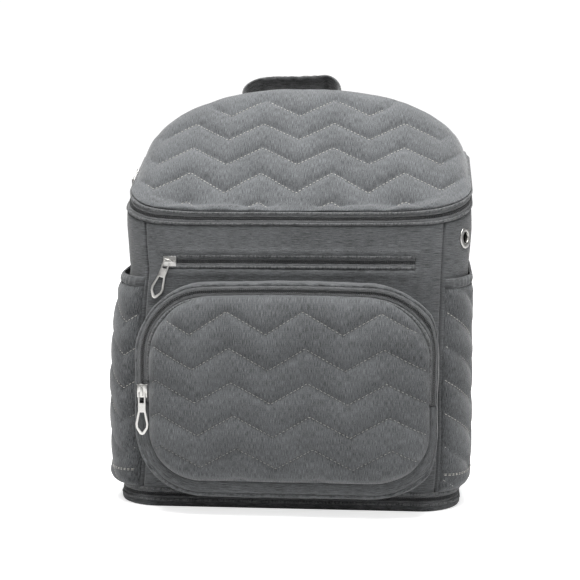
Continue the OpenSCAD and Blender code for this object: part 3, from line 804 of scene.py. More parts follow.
def arch_outline(inset, count=64, low=SHELL_Z):
    """The back panel's outline, from its low left corner up and over the arch to its low right corner."""
    t = np.linspace(1, -1, count)
    u = -np.sign(t) * np.abs(np.sin(t * math.pi / 2))
    top_x = u * HALF_W
    top = np.stack([top_x, rear_arch(top_x)], -1)
    side = np.linspace(low, float(spring_z(LID_REAR)), 40)[:-1]
    left = np.stack([np.full_like(side, -HALF_W), side], -1)
    line = np.concatenate([left, top, (left * (-1, 1))[::-1]])
    tangent = unit(np.gradient(line, axis=0))
    normal = np.stack([-tangent[:, 1], tangent[:, 0]], -1)
    return line - normal * inset


def build_back_panel():
    """The padded back panel: a slab with a crowned rear face and rounded edges."""
    line = arch_outline(0)
    centre = np.array([0.0, 200.0])
    shares = np.array([0, 0.12, 0.25, 0.38, 0.5, 0.62, 0.72, 0.8, 0.87, 0.92, 0.955, 0.98, 1.0])
    rear = np.stack([centre + (line - centre) * k for k in shares], 1)
    depth = REAR - 6 * (1 - np.sqrt(np.maximum(0, 1 - np.clip((shares - 0.955) / 0.045, 0, 1) ** 2)))
    crown = 1.2 * (1 - shares**4)
    rear3 = np.stack([rear[..., 0], np.broadcast_to(depth + crown, rear.shape[:2]), rear[..., 1]], -1)
    rear3[..., 1] += 0.5 * noise_at(rear3, 30, 2.2) * (shares < 0.98)
    front = np.stack([centre + (line - centre) * k for k in shares[::-1]], 1)
    front3 = np.stack([front[..., 0], np.full(front.shape[:2], BACK), front[..., 1]], -1)
    grid = np.concatenate([rear3, front3], 1)
    faces = grid_faces(*grid.shape[:2], wrap=True).tolist()
    obj = new_object("back_panel_fabric", grid.reshape(-1, 3), faces, HEATHER, grid[..., [0, 2]].reshape(-1, 2))
    weld(obj)
    dress(obj, "shell", "body_fabric", "back_panel")


def weld(obj, distance=0.00005):
    """Joins points that share a place, drops flat faces and turns every face outwards."""
    mesh = bmesh.new()
    mesh.from_mesh(obj.data)
    bmesh.ops.remove_doubles(mesh, verts=mesh.verts, dist=distance)
    bmesh.ops.dissolve_degenerate(mesh, edges=mesh.edges, dist=1e-6)
    bmesh.ops.recalc_face_normals(mesh, faces=mesh.faces)
    mesh.to_mesh(obj.data)
    mesh.free()
    obj.data.update()


# ---------------------------------------------------------------- front pocket

FACE_ROWS = dict(peak=-51.0, period=66.5, first=186.0 - 7 * 29.7, spacing=29.7, swing=18.6)
FACE_PUFF = 2.9  # height of the wadding between two rows


def rounded_half_w(z, half_w, low, high, radius):
    """Half width of a rounded rectangle at a height."""
    over = np.maximum(np.maximum(z - (high - radius), (low + radius) - z), 0)
    return half_w - radius + np.sqrt(np.maximum(0, radius**2 - np.minimum(over, radius) ** 2))


def face_drift(z):
    """How far the pocket's quilting wanders to the right towards its foot."""
    return 0.075 * (180 - z)


def face_half_w(z):
    """Half width of the pocket's face at a height."""
    over = np.maximum(0, z - (FACE_HIGH - FACE_R_HIGH)), np.maximum(0, FACE_LOW + FACE_R_LOW - z)
    cut = [r - np.sqrt(np.maximum(0, r**2 - np.minimum(o, r) ** 2)) for o, r in zip(over, (FACE_R_HIGH, FACE_R_LOW))]
    return FACE_W - cut[0] - cut[1]


def face_depth(x, z):
    """How far ahead of the origin the pocket's face is without its quilting, and how far in its edge is."""
    d = np.minimum(np.minimum(z - FACE_LOW, FACE_HIGH - z), FACE_W - np.abs(x))
    corners = (FACE_R_HIGH, z - (FACE_HIGH - FACE_R_HIGH)), (FACE_R_LOW, FACE_LOW + FACE_R_LOW - z)
    for r, cz in corners:
        cx = np.abs(x) - (FACE_W - r)
        d = np.where((cx > 0) & (cz > 0), r - np.hypot(cx, cz), d)
    d = np.maximum(0, d)
    edge = POCKET_Y + 0.6 + 10.5 * (1 - np.exp(-d / 8.5))
    belly = 2.6 * (1 - (x / FACE_W) ** 2) + 2.2 * np.exp(-(((z - 78) / 46) ** 2))
    return edge + belly * np.clip(d / 40, 0, 1), d


def face_creases(points):
    """Uneven slackness of the pocket's face, apart from its quilting."""
    return 0.9 * noise_at(points, 42, 9.1) + 0.5 * noise_at(points, 14, 4.4)


def build_pocket_face():
    t = np.linspace(-1, 1, 177)
    z = (FACE_LOW + FACE_HIGH) / 2 + (FACE_HIGH - FACE_LOW) / 2 * np.sin(t * math.pi / 2)
    u = np.sin(np.linspace(-1, 1, 247) * math.pi / 2)
    U, Z = np.meshgrid(u, z, indexing="ij")
    X = U * face_half_w(Z)
    depth, d = face_depth(X, Z)
    base = np.stack([X, -depth, Z], -1)
    normals = grid_normals(base)
    normals = unit(np.where(np.isfinite(normals), normals, 0) + np.array([0, -0.15, 0]))
    fade = edge_fade(d, 7)
    height = puff(chevrons(X - face_drift(Z), Z, **FACE_ROWS), FACE_PUFF) * fade
    height += face_creases(base) * fade
    outer = base + normals * height[..., None]
    inner = base.copy()
    inner[..., 1] = np.minimum(-POCKET_Y + 1.6, base[..., 1] + 4.5)
    obj = sheet_object("pocket_face_quilt", outer, inner, np.stack([X, Z], -1), FRONT_CLOTH_PAINTED_SHADE)
    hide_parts("pocket_face_upper", "pocket_face_lower")
    bend(obj)
    sewing = Stitching("pocket_quilt_stitches", material=GREY_THREAD)
    for k in range(0, 9):
        x = np.arange(-FACE_W, FACE_W + 0.1, 1.5)
        line_z = zigzag(k, x, **FACE_ROWS)
        for _ in range(4):
            line_z = zigzag(k, x - face_drift(line_z), **FACE_ROWS)
        depth, d = face_depth(x, line_z)
        inside = (d > 2.5) & (line_z > FACE_LOW) & (line_z < FACE_HIGH)
        inside = inside & (np.abs(x) < face_half_w(line_z) - 1)
        path = np.stack([x, -depth, line_z], -1)
        out = np.tile((0.0, -1.0, 0.0), (len(x), 1))
        path = path + out * (face_creases(path) * edge_fade(d, 7) + 0.25)[:, None]
        sewing.add_parts(path, out, inside)
    bend(sewing.make())


def bend(obj):
    """Bakes a piece of the pocket's face into place. The face folds where its zip ends, but nothing here moves what
    is above with the flap.
    """
    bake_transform(obj)


def pocket_loop(inset, depth, corner=14, straight=16):
    """A closed loop of the pocket's outline, from the middle of its foot, clockwise as seen from the front."""
    r = POCKET_R - inset
    w, mid = POCKET_W - POCKET_R, (POCKET_LOW + POCKET_HIGH) / 2
    h = (POCKET_HIGH - POCKET_LOW) / 2 - POCKET_R
    points = []

    def line(a, b, count):
        points.extend(np.linspace(a, b, count, endpoint=False).tolist())

    def turn(cx, cz, start):
        for q in range(corner):
            a = math.radians(start - 90 * q / corner)
            points.append([cx + r * math.cos(a), cz + r * math.sin(a)])

    line((0, mid - h - r), (-w, mid - h - r), straight)
    turn(-w, mid - h, 270)
    line((-w - r, mid - h), (-w - r, mid + h), straight)
    turn(-w, mid + h, 180)
    line((-w, mid + h + r), (w, mid + h + r), 2 * straight)
    turn(w, mid + h, 90)
    line((w + r, mid + h), (w + r, mid - h), straight)
    turn(w, mid - h, 0)
    line((w, mid - h - r), (0, mid - h - r), straight)
    points = np.array(points)
    return np.stack([points[:, 0], np.full(len(points), -depth), points[:, 1]], -1)


def pocket_arch(low, depth=POCKET_Y):
    """The pocket's outline from the left leg at height low, over the top, to the right leg."""
    loop = pocket_loop(0, depth, corner=24, straight=40)
    above = np.flatnonzero(loop[:, 2] > low)
    arc = loop[above[0] : above[-1] + 1].copy()
    first, last = arc[0].copy(), arc[-1].copy()
    first[2] = last[2] = low
    return np.concatenate([[first], arc[1:-1], [last]])


# The pocket's gusset in section: how far in from the pocket's outline, and how far ahead of the origin.
GUSSET_ROWS = [(3.3, 96.9), (2.6, 97.7), (1.3, 97.9), (0.2, 96.6), (-0.8, 93), (-1.5, 87), (-1.7, 80), (-1.3, 73),
               (-0.5, 68), (0.3, 65.7)]


def build_pocket_gusset():
    """The pocket's side wall all round, and the plain band under the ends of its zip."""
    rows = GUSSET_ROWS
    grid = np.stack([pocket_loop(inset, depth) for inset, depth in rows], 1)
    n = len(grid)
    centre = np.array([0, 0, (POCKET_LOW + POCKET_HIGH) / 2])
    away = grid - centre
    away[..., 1] = 0
    away = unit(away)
    share = np.linspace(0, 1, len(rows))[None] * np.ones((n, 1))
    hang = np.clip(-(grid[..., 2] - 70) / 50, 0, 1) * np.sin(math.pi * share) * 1.5
    ripple = 0.9 * noise_at(grid * (1, 0.6, 1), 22, 6.6) * np.sin(math.pi * np.clip(share * 1.1 - 0.1, 0, 1))
    outer = grid + away * (ripple + hang)[..., None]
    outer[..., 2] = np.maximum(outer[..., 2], SHELL_Z + 0.4)
    inner = grid - away * THICK
    inner[:, :3, 1] += 1.6
    girth = arc_lengths(np.concatenate([grid[:, 5], grid[:1, 5]]))[:-1]
    uv = np.stack(np.meshgrid(girth, [depth for _, depth in rows], indexing="ij"), -1)
    obj = sheet_object("pocket_gusset_fabric", outer, inner, uv, HEATHER, wrap=True)
    weld(obj)
    dress(obj, "shell", "body_fabric", "pocket_gusset")
    loop = pocket_loop(0, POCKET_Y - 0.8, corner=24, straight=40)
    lower = np.concatenate([loop[len(loop) // 2 :], loop[: len(loop) // 2]])
    lower = lower[lower[:, 2] < ZIP_END_Z]
    split = int(np.argmax(np.linalg.norm(np.diff(lower, axis=0), axis=1)))
    if np.linalg.norm(lower[split + 1] - lower[split]) > 30:
        lower = np.concatenate([lower[split + 1 :], lower[: split + 1]])
    normals = np.tile((0.0, -1.0, 0.0), (len(lower), 1))
    profile = [(3.2, -1.4), (14.6, -1.4), (14.6, 0.2), (12, 0.9), (8.5, 1.1), (5.5, 0.9), (3.2, 0.2)]
    band = sweep("pocket_lower_band_fabric", lower, normals, profile, HEATHER)
    dress(band, "shell", "body_fabric", "pocket_lower_band")


def build_pocket_zip():
    """The pocket's tapes, piping and teeth: the inner ones fold with the flap down to the zip's fixed ends."""
    whole, flap = pocket_arch(ZIP_END_Z), pocket_arch(FLAP_Z + 0.4)

    def strip(name, path, profile, material, body, slot, *stands_for):
        obj = sweep(name, path, np.tile((0.0, -1.0, 0.0), (len(path), 1)), profile, material)
        dress(obj, body, slot, *stands_for)

    def row(name, path, across, body, node=None):
        teeth(name, path, np.tile((0.0, -1.0, 0.0), (len(path), 1)), across, -0.1, body, node)

    outer_tape, inner_tape = (strip_profile(low, low + 3.4, -1.0, 0.0) for low in (3.0, 8.6))
    piping = round_profile(PIPING_R, 10, (13.4, 0.7))
    strip("pocket_outer_tape_cloth", whole, outer_tape, TAPE, "shell", "zip_tape", "pocket_outer_tape")
    strip("pocket_inner_tape_cloth", flap, inner_tape, TAPE, "pocket_flap", "zip_tape", "pocket_inner_tape")
    strip("pocket_piping_cloth", flap, piping, PIPING, "pocket_flap", "piping", "pocket_piping")
    for name, side, replaced in (("left", -1, ["pocket_zip_ends"]), ("right", 1, [])):
        part = whole[(whole[:, 0] * side > 0) & (whole[:, 2] <= FLAP_Z)][::-side]
        end = part[-1].copy()
        end[2] = FLAP_Z
        part = np.concatenate([part, [end]])[::-side]
        strip(f"pocket_zip_end_{name}", part, inner_tape, TAPE, "shell", "zip_tape", *replaced)
        strip(f"pocket_piping_end_{name}", part, piping, PIPING, "shell", "piping")
    row("pocket_zip_teeth_shell", whole, 6.75, "shell", "pocket_zip_coil")
    row("pocket_zip_teeth_pocket_flap", flap, 8.25, "pocket_flap")
    low = whole[whole[:, 2] <= FLAP_Z + 1]
    for name, side in (("left", -1), ("right", 1)):
        row(f"pocket_zip_end_teeth_{name}", low[low[:, 0] * side > 0], 8.25, "shell")


TOOTH_PITCH = 1.75


def teeth(name, path, normals, across, lift, body, node=None):
    """One half of a coil zip: a row of small teeth beside a path, riding on a body."""
    side, out = path_frames(np.asarray(path, float), np.asarray(normals, float))
    row = path + side * across + out * lift
    points, index = resample(row, TOOTH_PITCH)
    along = unit(follow(np.gradient(row, axis=0), index))
    obj = copies(name, TOOTH, points, along, unit(follow(out, index)), COIL)
    dress(obj, body, "zip_coil", *([node] if node else []))


# ---------------------------------------------------------------- mouth zip

def mouth_path():
    """The mouth zip's line and normals: down one side of the back arch, round the front and up the other."""
    y_arch, turn_r = 59.0, 13.0  # depth of its run up the arch, and radius of its turn into that
    t = np.linspace(math.asin(HINGE_X / HALF_W), math.pi / 2, 30)
    x = -HALF_W * np.sin(t)
    arch_line = np.stack([x, np.full_like(x, y_arch), rear_arch(x)], -1)
    arch_line = arch_line[arch_line[:, 2] > float(mouth_z(y_arch)) + turn_r]
    start = arch_line[-1]
    corner = np.array([-HALF_W + 3.0, y_arch, float(mouth_z(y_arch)) + 1.0])
    end = np.array([-HALF_W, y_arch - turn_r, float(mouth_z(y_arch - turn_r))])
    q = np.linspace(0, 1, 9)[:, None]
    bend_line = ((1 - q) ** 2 * start + 2 * q * (1 - q) * corner + q**2 * end)[1:]
    s = np.linspace(BACK - (y_arch - turn_r), PERIMETER / 2, 110)[1:]
    wall, wall_normal = plan_at(s)
    wall[:, 2] = mouth_z(wall[:, 1])
    tangent = unit(np.gradient(arch_line, axis=0))
    arch_normal = np.stack([tangent[:, 2], 0 * x[: len(tangent)], -tangent[:, 0]], -1)
    half = np.concatenate([arch_line, bend_line, wall])
    bend_normal = unit(arch_normal[-1] * (1 - q[1:]) + np.array([-1.0, 0, 0]) * q[1:])
    normal = np.concatenate([arch_normal, bend_normal, wall_normal])
    path, normal = (np.concatenate([part, (part * (-1, 1, 1))[::-1][1:]]) for part in (half, normal))
    normal = unit(normal)
    wave = 0.5 * noise_at(path, 60, 2.9)
    path[:, 2] += wave * (np.abs(path[:, 1] - y_arch) > 1)
    return path, normal


def build_mouth_zip():
    """The zip between the lid and the shell, its piping, and the strip that hinges the lid."""
    path, normal = mouth_path()
    lid_line, mouth_line = (round_profile(PIPING_R, 10, (across, -0.1)) for across in (-5.7, 5.7))
    lid_band, mouth_band = (strip_profile(low, low + 3.6, -1.4, -0.1) for low in (-5.2, 1.6))
    for name, profile, material, body, slot, replaced in (
        ("lid_piping_cloth", lid_line, PIPING, "lid", "piping", ["lid_piping"]),
        ("lid_tape_cloth", lid_band, TAPE, "lid", "zip_tape", ["lid_zip_tape", "lid_arch_zip_tape"]),
        ("mouth_tape_cloth", mouth_band, TAPE, "shell", "zip_tape", ["mouth_zip_tape", "arch_zip_tape"]),
        ("mouth_piping_cloth", mouth_line, PIPING, "shell", "piping", ["mouth_piping"]),
    ):
        dress(sweep(name, path, normal, profile, material), body, slot, *replaced)
    teeth("lid_zip_teeth", path, normal, -0.75, -0.5, "lid")
    teeth("mouth_zip_teeth", path, normal, 0.75, -0.5, "shell", "mouth_zip_coil")
    near, far = 50.5, 67.0  # depths of the hinge strip's edges
    X, Y = np.meshgrid(np.linspace(-1, 1, 33) * (HINGE_X + 1), np.linspace(near, far, 12), indexing="ij")
    Z = rear_arch(X) + 1.25 - 0.012 * np.maximum(0, Y - BACK) ** 2
    outer = np.stack([X, Y, Z + 0.3 * np.sin((Y - near) / (far - near) * math.pi)], -1)
    inner = outer - (0, 0, 1.4)
    obj = sheet_object("lid_hinge_fabric", outer, inner, np.stack([X, Y], -1), HEATHER)
    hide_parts("lid_hinge_strip")
    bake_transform(obj)


# ---------------------------------------------------------------- level zip on the front

def build_front_zip():
    x = np.linspace(ZIP_X[0], ZIP_X[1], 90)
    s = np.array([s_of_x(v) for v in x])
    path, normal = plan_at(s, np.zeros_like(s))
    path[:, 2] = ZIP_Z + 0.4 * noise_at(path, 50, 3.3)
    halves = ("upper", -1, "front_zip_tapes"), ("lower", 1, None)
    for name, side, node in halves:
        low, high = sorted((1.6 * side, 6.0 * side))
        tape = sweep(f"front_zip_tape_{name}", path, normal, strip_profile(low, high, -1.2, 0.1), TAPE)
        dress(tape, "shell", "zip_tape", *([node] if node else []))
    for name, side, _ in halves:
        welt = sweep(f"front_zip_welt_{name}", path, normal,
                     round_profile(1.35, 10, (5 * side, 0.5), 0.9), PIPING)
        dress(welt, "shell", "body_fabric")
    for name, side, _ in halves:
        coil = "front_zip_coil" if side < 0 else None
        teeth(f"front_zip_teeth_{name}", path, normal, 0.75 * side, -0.4, "shell", coil)


# ---------------------------------------------------------------- side pockets

# The two side pockets, the left one (-1) and then the right one: how far each bulges, and its quilting.
SIDE_OUT = {-1: 12.5, 1: 6.5}
SIDE_ROWS = {-1: dict(peak=-22.0, period=66.0, first=14.0, spacing=31.0, swing=26.0),
             1: dict(peak=2.0, period=70.0, first=0.0, spacing=31.0, swing=24.0)}
SIDE_PUFF = 2.8
SIDE_START, SIDE_END = s_of_x(SEAM_X + 2.5), PERIMETER - 6.0  # its edges, as distances along the wall
HEM_H = 9.0
SIDE_FOOT_Z = 35.0  # the rows of stitches that close its foot


def side_top(s):
    """Height of a side pocket's mouth, which climbs to the rear."""
    return 222.0 + 0.10 * plan_at(s)[0][..., 1]


def side_pocket_point(side, a, z, puffed=True):
    """A point of a side pocket's skin, a from 0 at its front edge to 1 at its rear edge."""
    s = SIDE_START + a * (SIDE_END - SIDE_START)
    high = side_top(s)
    rise = np.clip((z - SHELL_Z - 1) / (high - SHELL_Z - 1), 0, 1)
    front, rear = np.clip(a / 0.16, 0, 1), np.clip((1 - a) / 0.12, 0, 1)
    shape = np.sqrt(1 - (1 - front) ** 2) * np.sqrt(1 - (1 - rear) ** 2)
    belly = 0.82 + 0.26 * np.exp(-(((rise - 0.36) / 0.32) ** 2)) - 0.60 * np.maximum(0, rise - 0.55) ** 1.5
    foot = np.sqrt(1 - (1 - np.clip(rise / 0.05, 0, 1)) ** 2)
    out = SIDE_OUT[side] * shape * belly * (0.35 + 0.65 * foot)
    dart = 1.6 * np.exp(-(((a - 0.42) * 120 / 3.0) ** 2)) * np.clip(1 - rise / 0.2, 0, 1)
    out = out - dart
    width = s - SIDE_START
    edge = np.minimum(np.minimum(width, SIDE_END - s), np.minimum(z - SHELL_Z - 3, high - HEM_H - z))
    fade = edge_fade(np.maximum(edge, 0), 7)
    if puffed:
        out = out + puff(chevrons(width, z, **SIDE_ROWS[side]), SIDE_PUFF) * fade
        cloud = np.stack([s * 0.8, z, np.full_like(s, 40.0 * side)], -1)
        out = out + (1.1 * noise_at(cloud, 30, 8.3) + 0.4 * noise_at(cloud, 12, 2.1)) * fade
    out = np.maximum(out, 0.5)
    point, normal = plan_at(s, out)
    if side < 0:
        point, normal = point * (-1, 1, 1), normal * (-1, 1, 1)
    point[..., 2] = z
    return point, normal, high


def build_side_pocket(side):
    """A side pocket's quilted skin, its elasticated hem and its rows of stitches."""
    name = "left" if side < 0 else "right"
    a = np.concatenate([np.linspace(0, 0.2, 28), np.linspace(0.2, 0.86, 62)[1:], np.linspace(0.86, 1, 18)[1:]])
    t = np.linspace(0, 1, 112)
    A = np.repeat(a[:, None], len(t), 1)
    s = SIDE_START + A * (SIDE_END - SIDE_START)
    high = side_top(s)
    Z = SHELL_Z + 1 + t[None] * (high - HEM_H - SHELL_Z - 1)
    outer, normal, _ = side_pocket_point(side, A, Z)
    inner = outer - normal * THICK
    inner_plan = plan_at(s, np.full_like(s, 0.25))[0] * (side, 1, 1)
    near_body = np.sum((inner - inner_plan)[..., :2] * normal[..., :2], axis=-1) < 0
    inner[near_body, :2] = inner_plan[near_body, :2]
    inner[..., 2] = Z
    outer, inner, uv = (grid[::side] for grid in (outer, inner, np.stack([s, Z], -1)))
    obj = sheet_object(f"{name}_side_pocket_quilt", outer, inner, uv, FRONT_CLOTH_PAINTED_SHADE)
    dress(obj, "shell", "quilted_fabric", f"{name}_side_pocket")

    t = np.linspace(0, 1, 12)
    A = np.repeat(a[:, None], len(t), 1)
    s = np.repeat(s[:, :1], len(t), 1)
    Z = high[:, :1] - HEM_H + t[None] * HEM_H
    outer, normal, _ = side_pocket_point(side, A, Z, puffed=False)
    stretch = 2.0 * noise_at(np.stack([A * 120, Z * 0, Z * 0], -1), 9, 3.3)
    gather = 0.55 * np.sin(A * 150 + stretch) * np.sin(math.pi * t)[None]
    roll = 1.3 * np.sin(math.pi * t)[None] ** 0.6
    outer = outer + normal * (gather + roll - 0.1)[..., None]
    inner = outer - normal * (1.6 + roll + gather)[..., None]
    outer, inner, uv = (grid[::side] for grid in (outer, inner, np.stack([s, Z], -1)))
    hem = sheet_object(f"{name}_pocket_hem_cloth", outer, inner, uv, HEATHER)
    dress(hem, "shell", "hem_fabric", f"{name}_pocket_hem")

    sewing = Stitching(f"{name}_side_pocket_stitches")
    a = np.linspace(0.02, 0.98, 90)
    for k in range(0, 8):
        z = zigzag(k, a * (SIDE_END - SIDE_START), **SIDE_ROWS[side])
        path, out, high_at = side_pocket_point(side, a, z, puffed=False)
        inside = (z > SHELL_Z + 5) & (z < high_at - HEM_H - 1)
        sewing.add_parts(path, out, inside)
    path, out, _ = side_pocket_point(side, a, np.full_like(a, SIDE_FOOT_Z))
    sewing.add(path, out)
    sewing.add(path + (0, 0, 1.2), out)
    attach(sewing.make(), "shell")


# ---------------------------------------------------------------- base

BASE_REAR_R = 14.0  # radius of the base's rear corners
# The base tray in section: how far in from the shell's outline, and the height above the floor.
TRAY_ROWS = [(9.0, 0.25), (4.5, 0.15), (2.4, 0.3), (1.0, 0.9), (0.3, 1.9), (-0.2, 3.2), (-0.3, 4.6), (0.0, 6.0),
             (0.8, 6.9), (2.2, 7.0), (2.4, 4.0), (2.4, 2.6), (9.0, 2.5)]
BASE_ZIP_Z = 12.0


def base_loop(inset, count_corner=14):
    """The base's plan outline with its outward normals, anticlockwise from the middle of its rear edge."""
    points, normals = [], []

    def line(a, b, count, normal):
        points.extend(np.linspace(a, b, count, endpoint=False).tolist())
        normals.extend([normal] * count)

    def turn(cx, cy, r, start):
        for q in range(count_corner):
            a = math.radians(start + 90 * q / count_corner)
            points.append([cx + (r - inset) * math.cos(a), cy + (r - inset) * math.sin(a)])
            normals.append((math.cos(a), math.sin(a)))

    w, rear_r = HALF_W, BASE_REAR_R
    line((0, REAR - inset), (-w + rear_r, REAR - inset), 30, (0, 1))
    turn(-w + rear_r, REAR - rear_r, rear_r, 90)
    line((-w + inset, REAR - rear_r), (-w + inset, CORNER - FRONT), 18, (-1, 0))
    turn(-w + CORNER, CORNER - FRONT, CORNER, 180)
    line((-w + CORNER, inset - FRONT), (w - CORNER, inset - FRONT), 50, (0, -1))
    turn(w - CORNER, CORNER - FRONT, CORNER, 270)
    line((w - inset, CORNER - FRONT), (w - inset, REAR - rear_r), 18, (1, 0))
    turn(w - rear_r, REAR - rear_r, rear_r, 0)
    line((w - rear_r, REAR - inset), (0, REAR - inset), 30, (0, 1))
    flat = np.zeros((len(points), 1))
    return np.hstack([np.array(points), flat]), np.hstack([np.array(normals), flat])


def build_base():
    """The base tray with its piping, and the zip that holds the shell down on it."""
    loop, normal = base_loop(0)
    grid = np.stack([base_loop(inset)[0] + (0, 0, z) for inset, z in TRAY_ROWS], 1)
    swell = 0.6 * noise_at(grid, 26, 5.5) * (np.abs(grid[..., 2] - 3.6) < 3)
    grid[..., :2] += normal[:, None, :2] * swell[..., None]
    n, m = grid.shape[:2]
    faces = grid_faces(n, m, 0, wrap=True).tolist()
    faces.append([i * m for i in range(n)])
    faces.append([i * m + m - 1 for i in range(n)][::-1])
    girth = arc_lengths(np.concatenate([loop, loop[:1]]))[:-1]
    uv = np.stack(np.meshgrid(girth, [inset + z for inset, z in TRAY_ROWS], indexing="ij"), -1)
    obj = new_object("base_tray_fabric", grid.reshape(-1, 3), faces, BASE_CLOTH, uv.reshape(-1, 2))
    weld(obj)
    dress(obj, "base", "base_fabric", "base_tray")
    for name, z, body in (("base_piping_cloth", 7.3, "base"), ("shell_piping_cloth", 17.2, "shell")):
        profile = round_profile(PIPING_R, 10, (0, -0.4))
        dress(sweep(name, loop + (0, 0, z), normal, profile, PIPING, closed=True), body, "piping")
    mid = loop + (0, 0, BASE_ZIP_Z)
    for half, low, high, body in (("lower", -4.4, -1.5, "base"), ("upper", 1.5, 4.6, "shell")):
        profile = strip_profile(low, high, -2.1, -0.9)
        if base_side_up():
            profile = [(-across, out) for across, out in profile][::-1]
        tape = sweep(f"base_tape_{half}_cloth", mid, normal, profile, TAPE, closed=True)
        dress(tape, body, "zip_tape", f"base_zip_{half}_tape")
    whole, out = (np.concatenate([part, part[:1]]) for part in (mid, normal))
    up = -0.75 if base_side_up() else 0.75
    teeth("base_zip_teeth_lower", whole, out, -up, -1.1, "base", "base_zip_coil")
    teeth("base_zip_teeth_upper", whole, out, up, -1.1, "shell")
    build_gusset()


def build_gusset():
    """The pleated gusset folded inside the base zip, which lets the shell rise from its tray."""
    rows = np.linspace(0, 1, 25)
    inset = 4.6 + 0.9 * np.cos(rows * math.pi * 6)
    height = 6.2 + 14.5 * rows
    outer, inner = (
        np.stack([base_loop(i + deeper, 10)[0] + (0, 0, z) for i, z in zip(inset, height)], 1) for deeper in (0, 0.9)
    )
    uv = np.stack(np.meshgrid(np.arange(len(outer)) * 4.0, height, indexing="ij"), -1)
    gusset = sheet_object("expansion_gusset_cloth", outer, inner, uv, HEATHER, wrap=True)
    weld(gusset)
    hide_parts("expansion_gusset")
    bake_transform(gusset)


def base_side_up():
    """Whether a sweep round the base has its side direction pointing up."""
    loop, normal = base_loop(0)
    side, _ = path_frames(loop[:4], normal[:4])
    return side[1][2] < 0


# ---------------------------------------------------------------- handle, straps and back

HANDLE_LEAN, HANDLE_HALF, HANDLE_H = math.radians(40), 52.0, 59.0  # lean to the rear, half width, height
HANDLE = np.array([-12.0, REAR + 0.6 + 12.5 * math.cos(HANDLE_LEAN), 360.0])  # the middle of its foot


def build_handle():
    """A band of webbing bent into a loop, wrapped with a padded grip along its top."""
    r, w, h = 21.5, HANDLE_HALF - 2.5, HANDLE_H - 2.5
    slack, tight = 38.0, 18.0  # how wide the loop's two shoulders are: the left one hangs slack
    a = np.linspace(math.pi, 0, 34)
    left = np.stack([np.full(10, -w), np.linspace(-6, h - r, 10, endpoint=False)], -1)
    turn_left = np.stack([-w + slack + slack * np.cos(a[:17]), h - r + r * np.sin(a[:17])], -1)
    turn_right = np.stack([w - tight + tight * np.cos(a[17:]), h - r + r * np.sin(a[17:])], -1)
    top = np.stack([np.linspace(-w + slack, w - tight, 22)[1:-1], np.full(20, h)], -1)
    flat = np.concatenate([left, turn_left, top, turn_right, (left * (-1, 1))[::-1]])
    even = np.linspace(0, len(flat) - 1, 110)
    flat = np.stack([np.interp(even, np.arange(len(flat)), flat[:, c]) for c in (0, 1)], -1)
    droop = 1.5 * np.exp(-((flat[:, 0] / 22) ** 2)) * (flat[:, 1] > h - 3)
    tangent = unit(np.gradient(flat, axis=0))
    out2 = np.stack([-tangent[:, 1], tangent[:, 0]], -1)
    up = np.array([0, math.sin(HANDLE_LEAN), math.cos(HANDLE_LEAN)])
    across = np.array([0, math.cos(HANDLE_LEAN), -math.sin(HANDLE_LEAN)])
    path = HANDLE + flat[:, :1] * (1, 0, 0) + (flat[:, 1:] - droop[:, None]) * up
    out = out2[:, :1] * (1, 0, 0) + out2[:, 1:] * up
    grip = np.exp(-(np.maximum(0, np.abs(flat[:, 0]) - 26) / 6) ** 4) * (flat[:, 1] > h - 12)
    grip = grip[:, None]
    q = np.arange(28)[None] * 2 * math.pi / 28
    c, s = np.cos(q), np.sin(q)
    square = 0.35 + 0.45 * grip
    wide = (11.8 - 1.0 * grip) * np.sign(c) * np.abs(c) ** square
    thick = (1.5 + 2.2 * grip) * np.sign(s) * np.abs(s) ** (square + 0.2)
    pucker = 0.8 * grip * noise_at(np.stack(np.broadcast_arrays(flat[:, :1], 6 * c, 6 * s), -1), 5, 1.2)
    thick = thick + pucker * np.sign(thick)
    points = path[:, None] + wide[..., None] * across + thick[..., None] * out[:, None]
    uv = np.stack(np.broadcast_arrays(arc_lengths(path)[:, None], 12 * c), -1)
    faces = ring_faces(*points.shape[:2])
    obj = new_object("handle_webbing", points.reshape(-1, 3), faces, WEBBING, uv.reshape(-1, 2))
    weld(obj)
    dress(obj, "handle_loop", "webbing", "handle")
    sewing = Stitching("handle_stitches", FINE_STITCH, THREAD, 3.2, 1.6)
    for offset in (-9.3, 9.3):
        for part in (slice(4, 28), slice(-28, -4)):
            sewing.add(path[part] + offset * across, out[part])
    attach(sewing.make(), "handle_loop")


STRAP_X, STRAP_W, STRAP_SPLAY = 58.0, 58.0, math.radians(7)  # place, width and splay of each strap
YOKE_Z = 322.0  # lower edge of the yoke that holds the straps' tops
STRAP_TOP, STRAP_DROP, STRAP_BOW = (REAR + 8.6, YOKE_Z - 0.4), 222.0, 24.0  # its start, drop and bow
WEB_HALF = 12.0  # half width of the straps' webbing


def strap_line(t):
    """Depth and height of a strap's middle at a share of its length."""
    bow = STRAP_BOW * np.sin(math.pi * np.clip(t, 0, 1) ** 0.85) ** 1.2
    return STRAP_TOP[0] + bow + 4 * t, STRAP_TOP[1] - STRAP_DROP * t


def splayed(points, side):
    """Turns points about the strap's top so that it splays outwards as it falls."""
    p = np.array(points, float)
    dx, dz = p[..., 0].copy(), p[..., 2] - YOKE_Z
    c, s = math.cos(STRAP_SPLAY), math.sin(STRAP_SPLAY)
    p[..., 0] = side * STRAP_X + dx * c - side * dz * s
    p[..., 2] = YOKE_Z + dz * c + side * dx * s
    return p


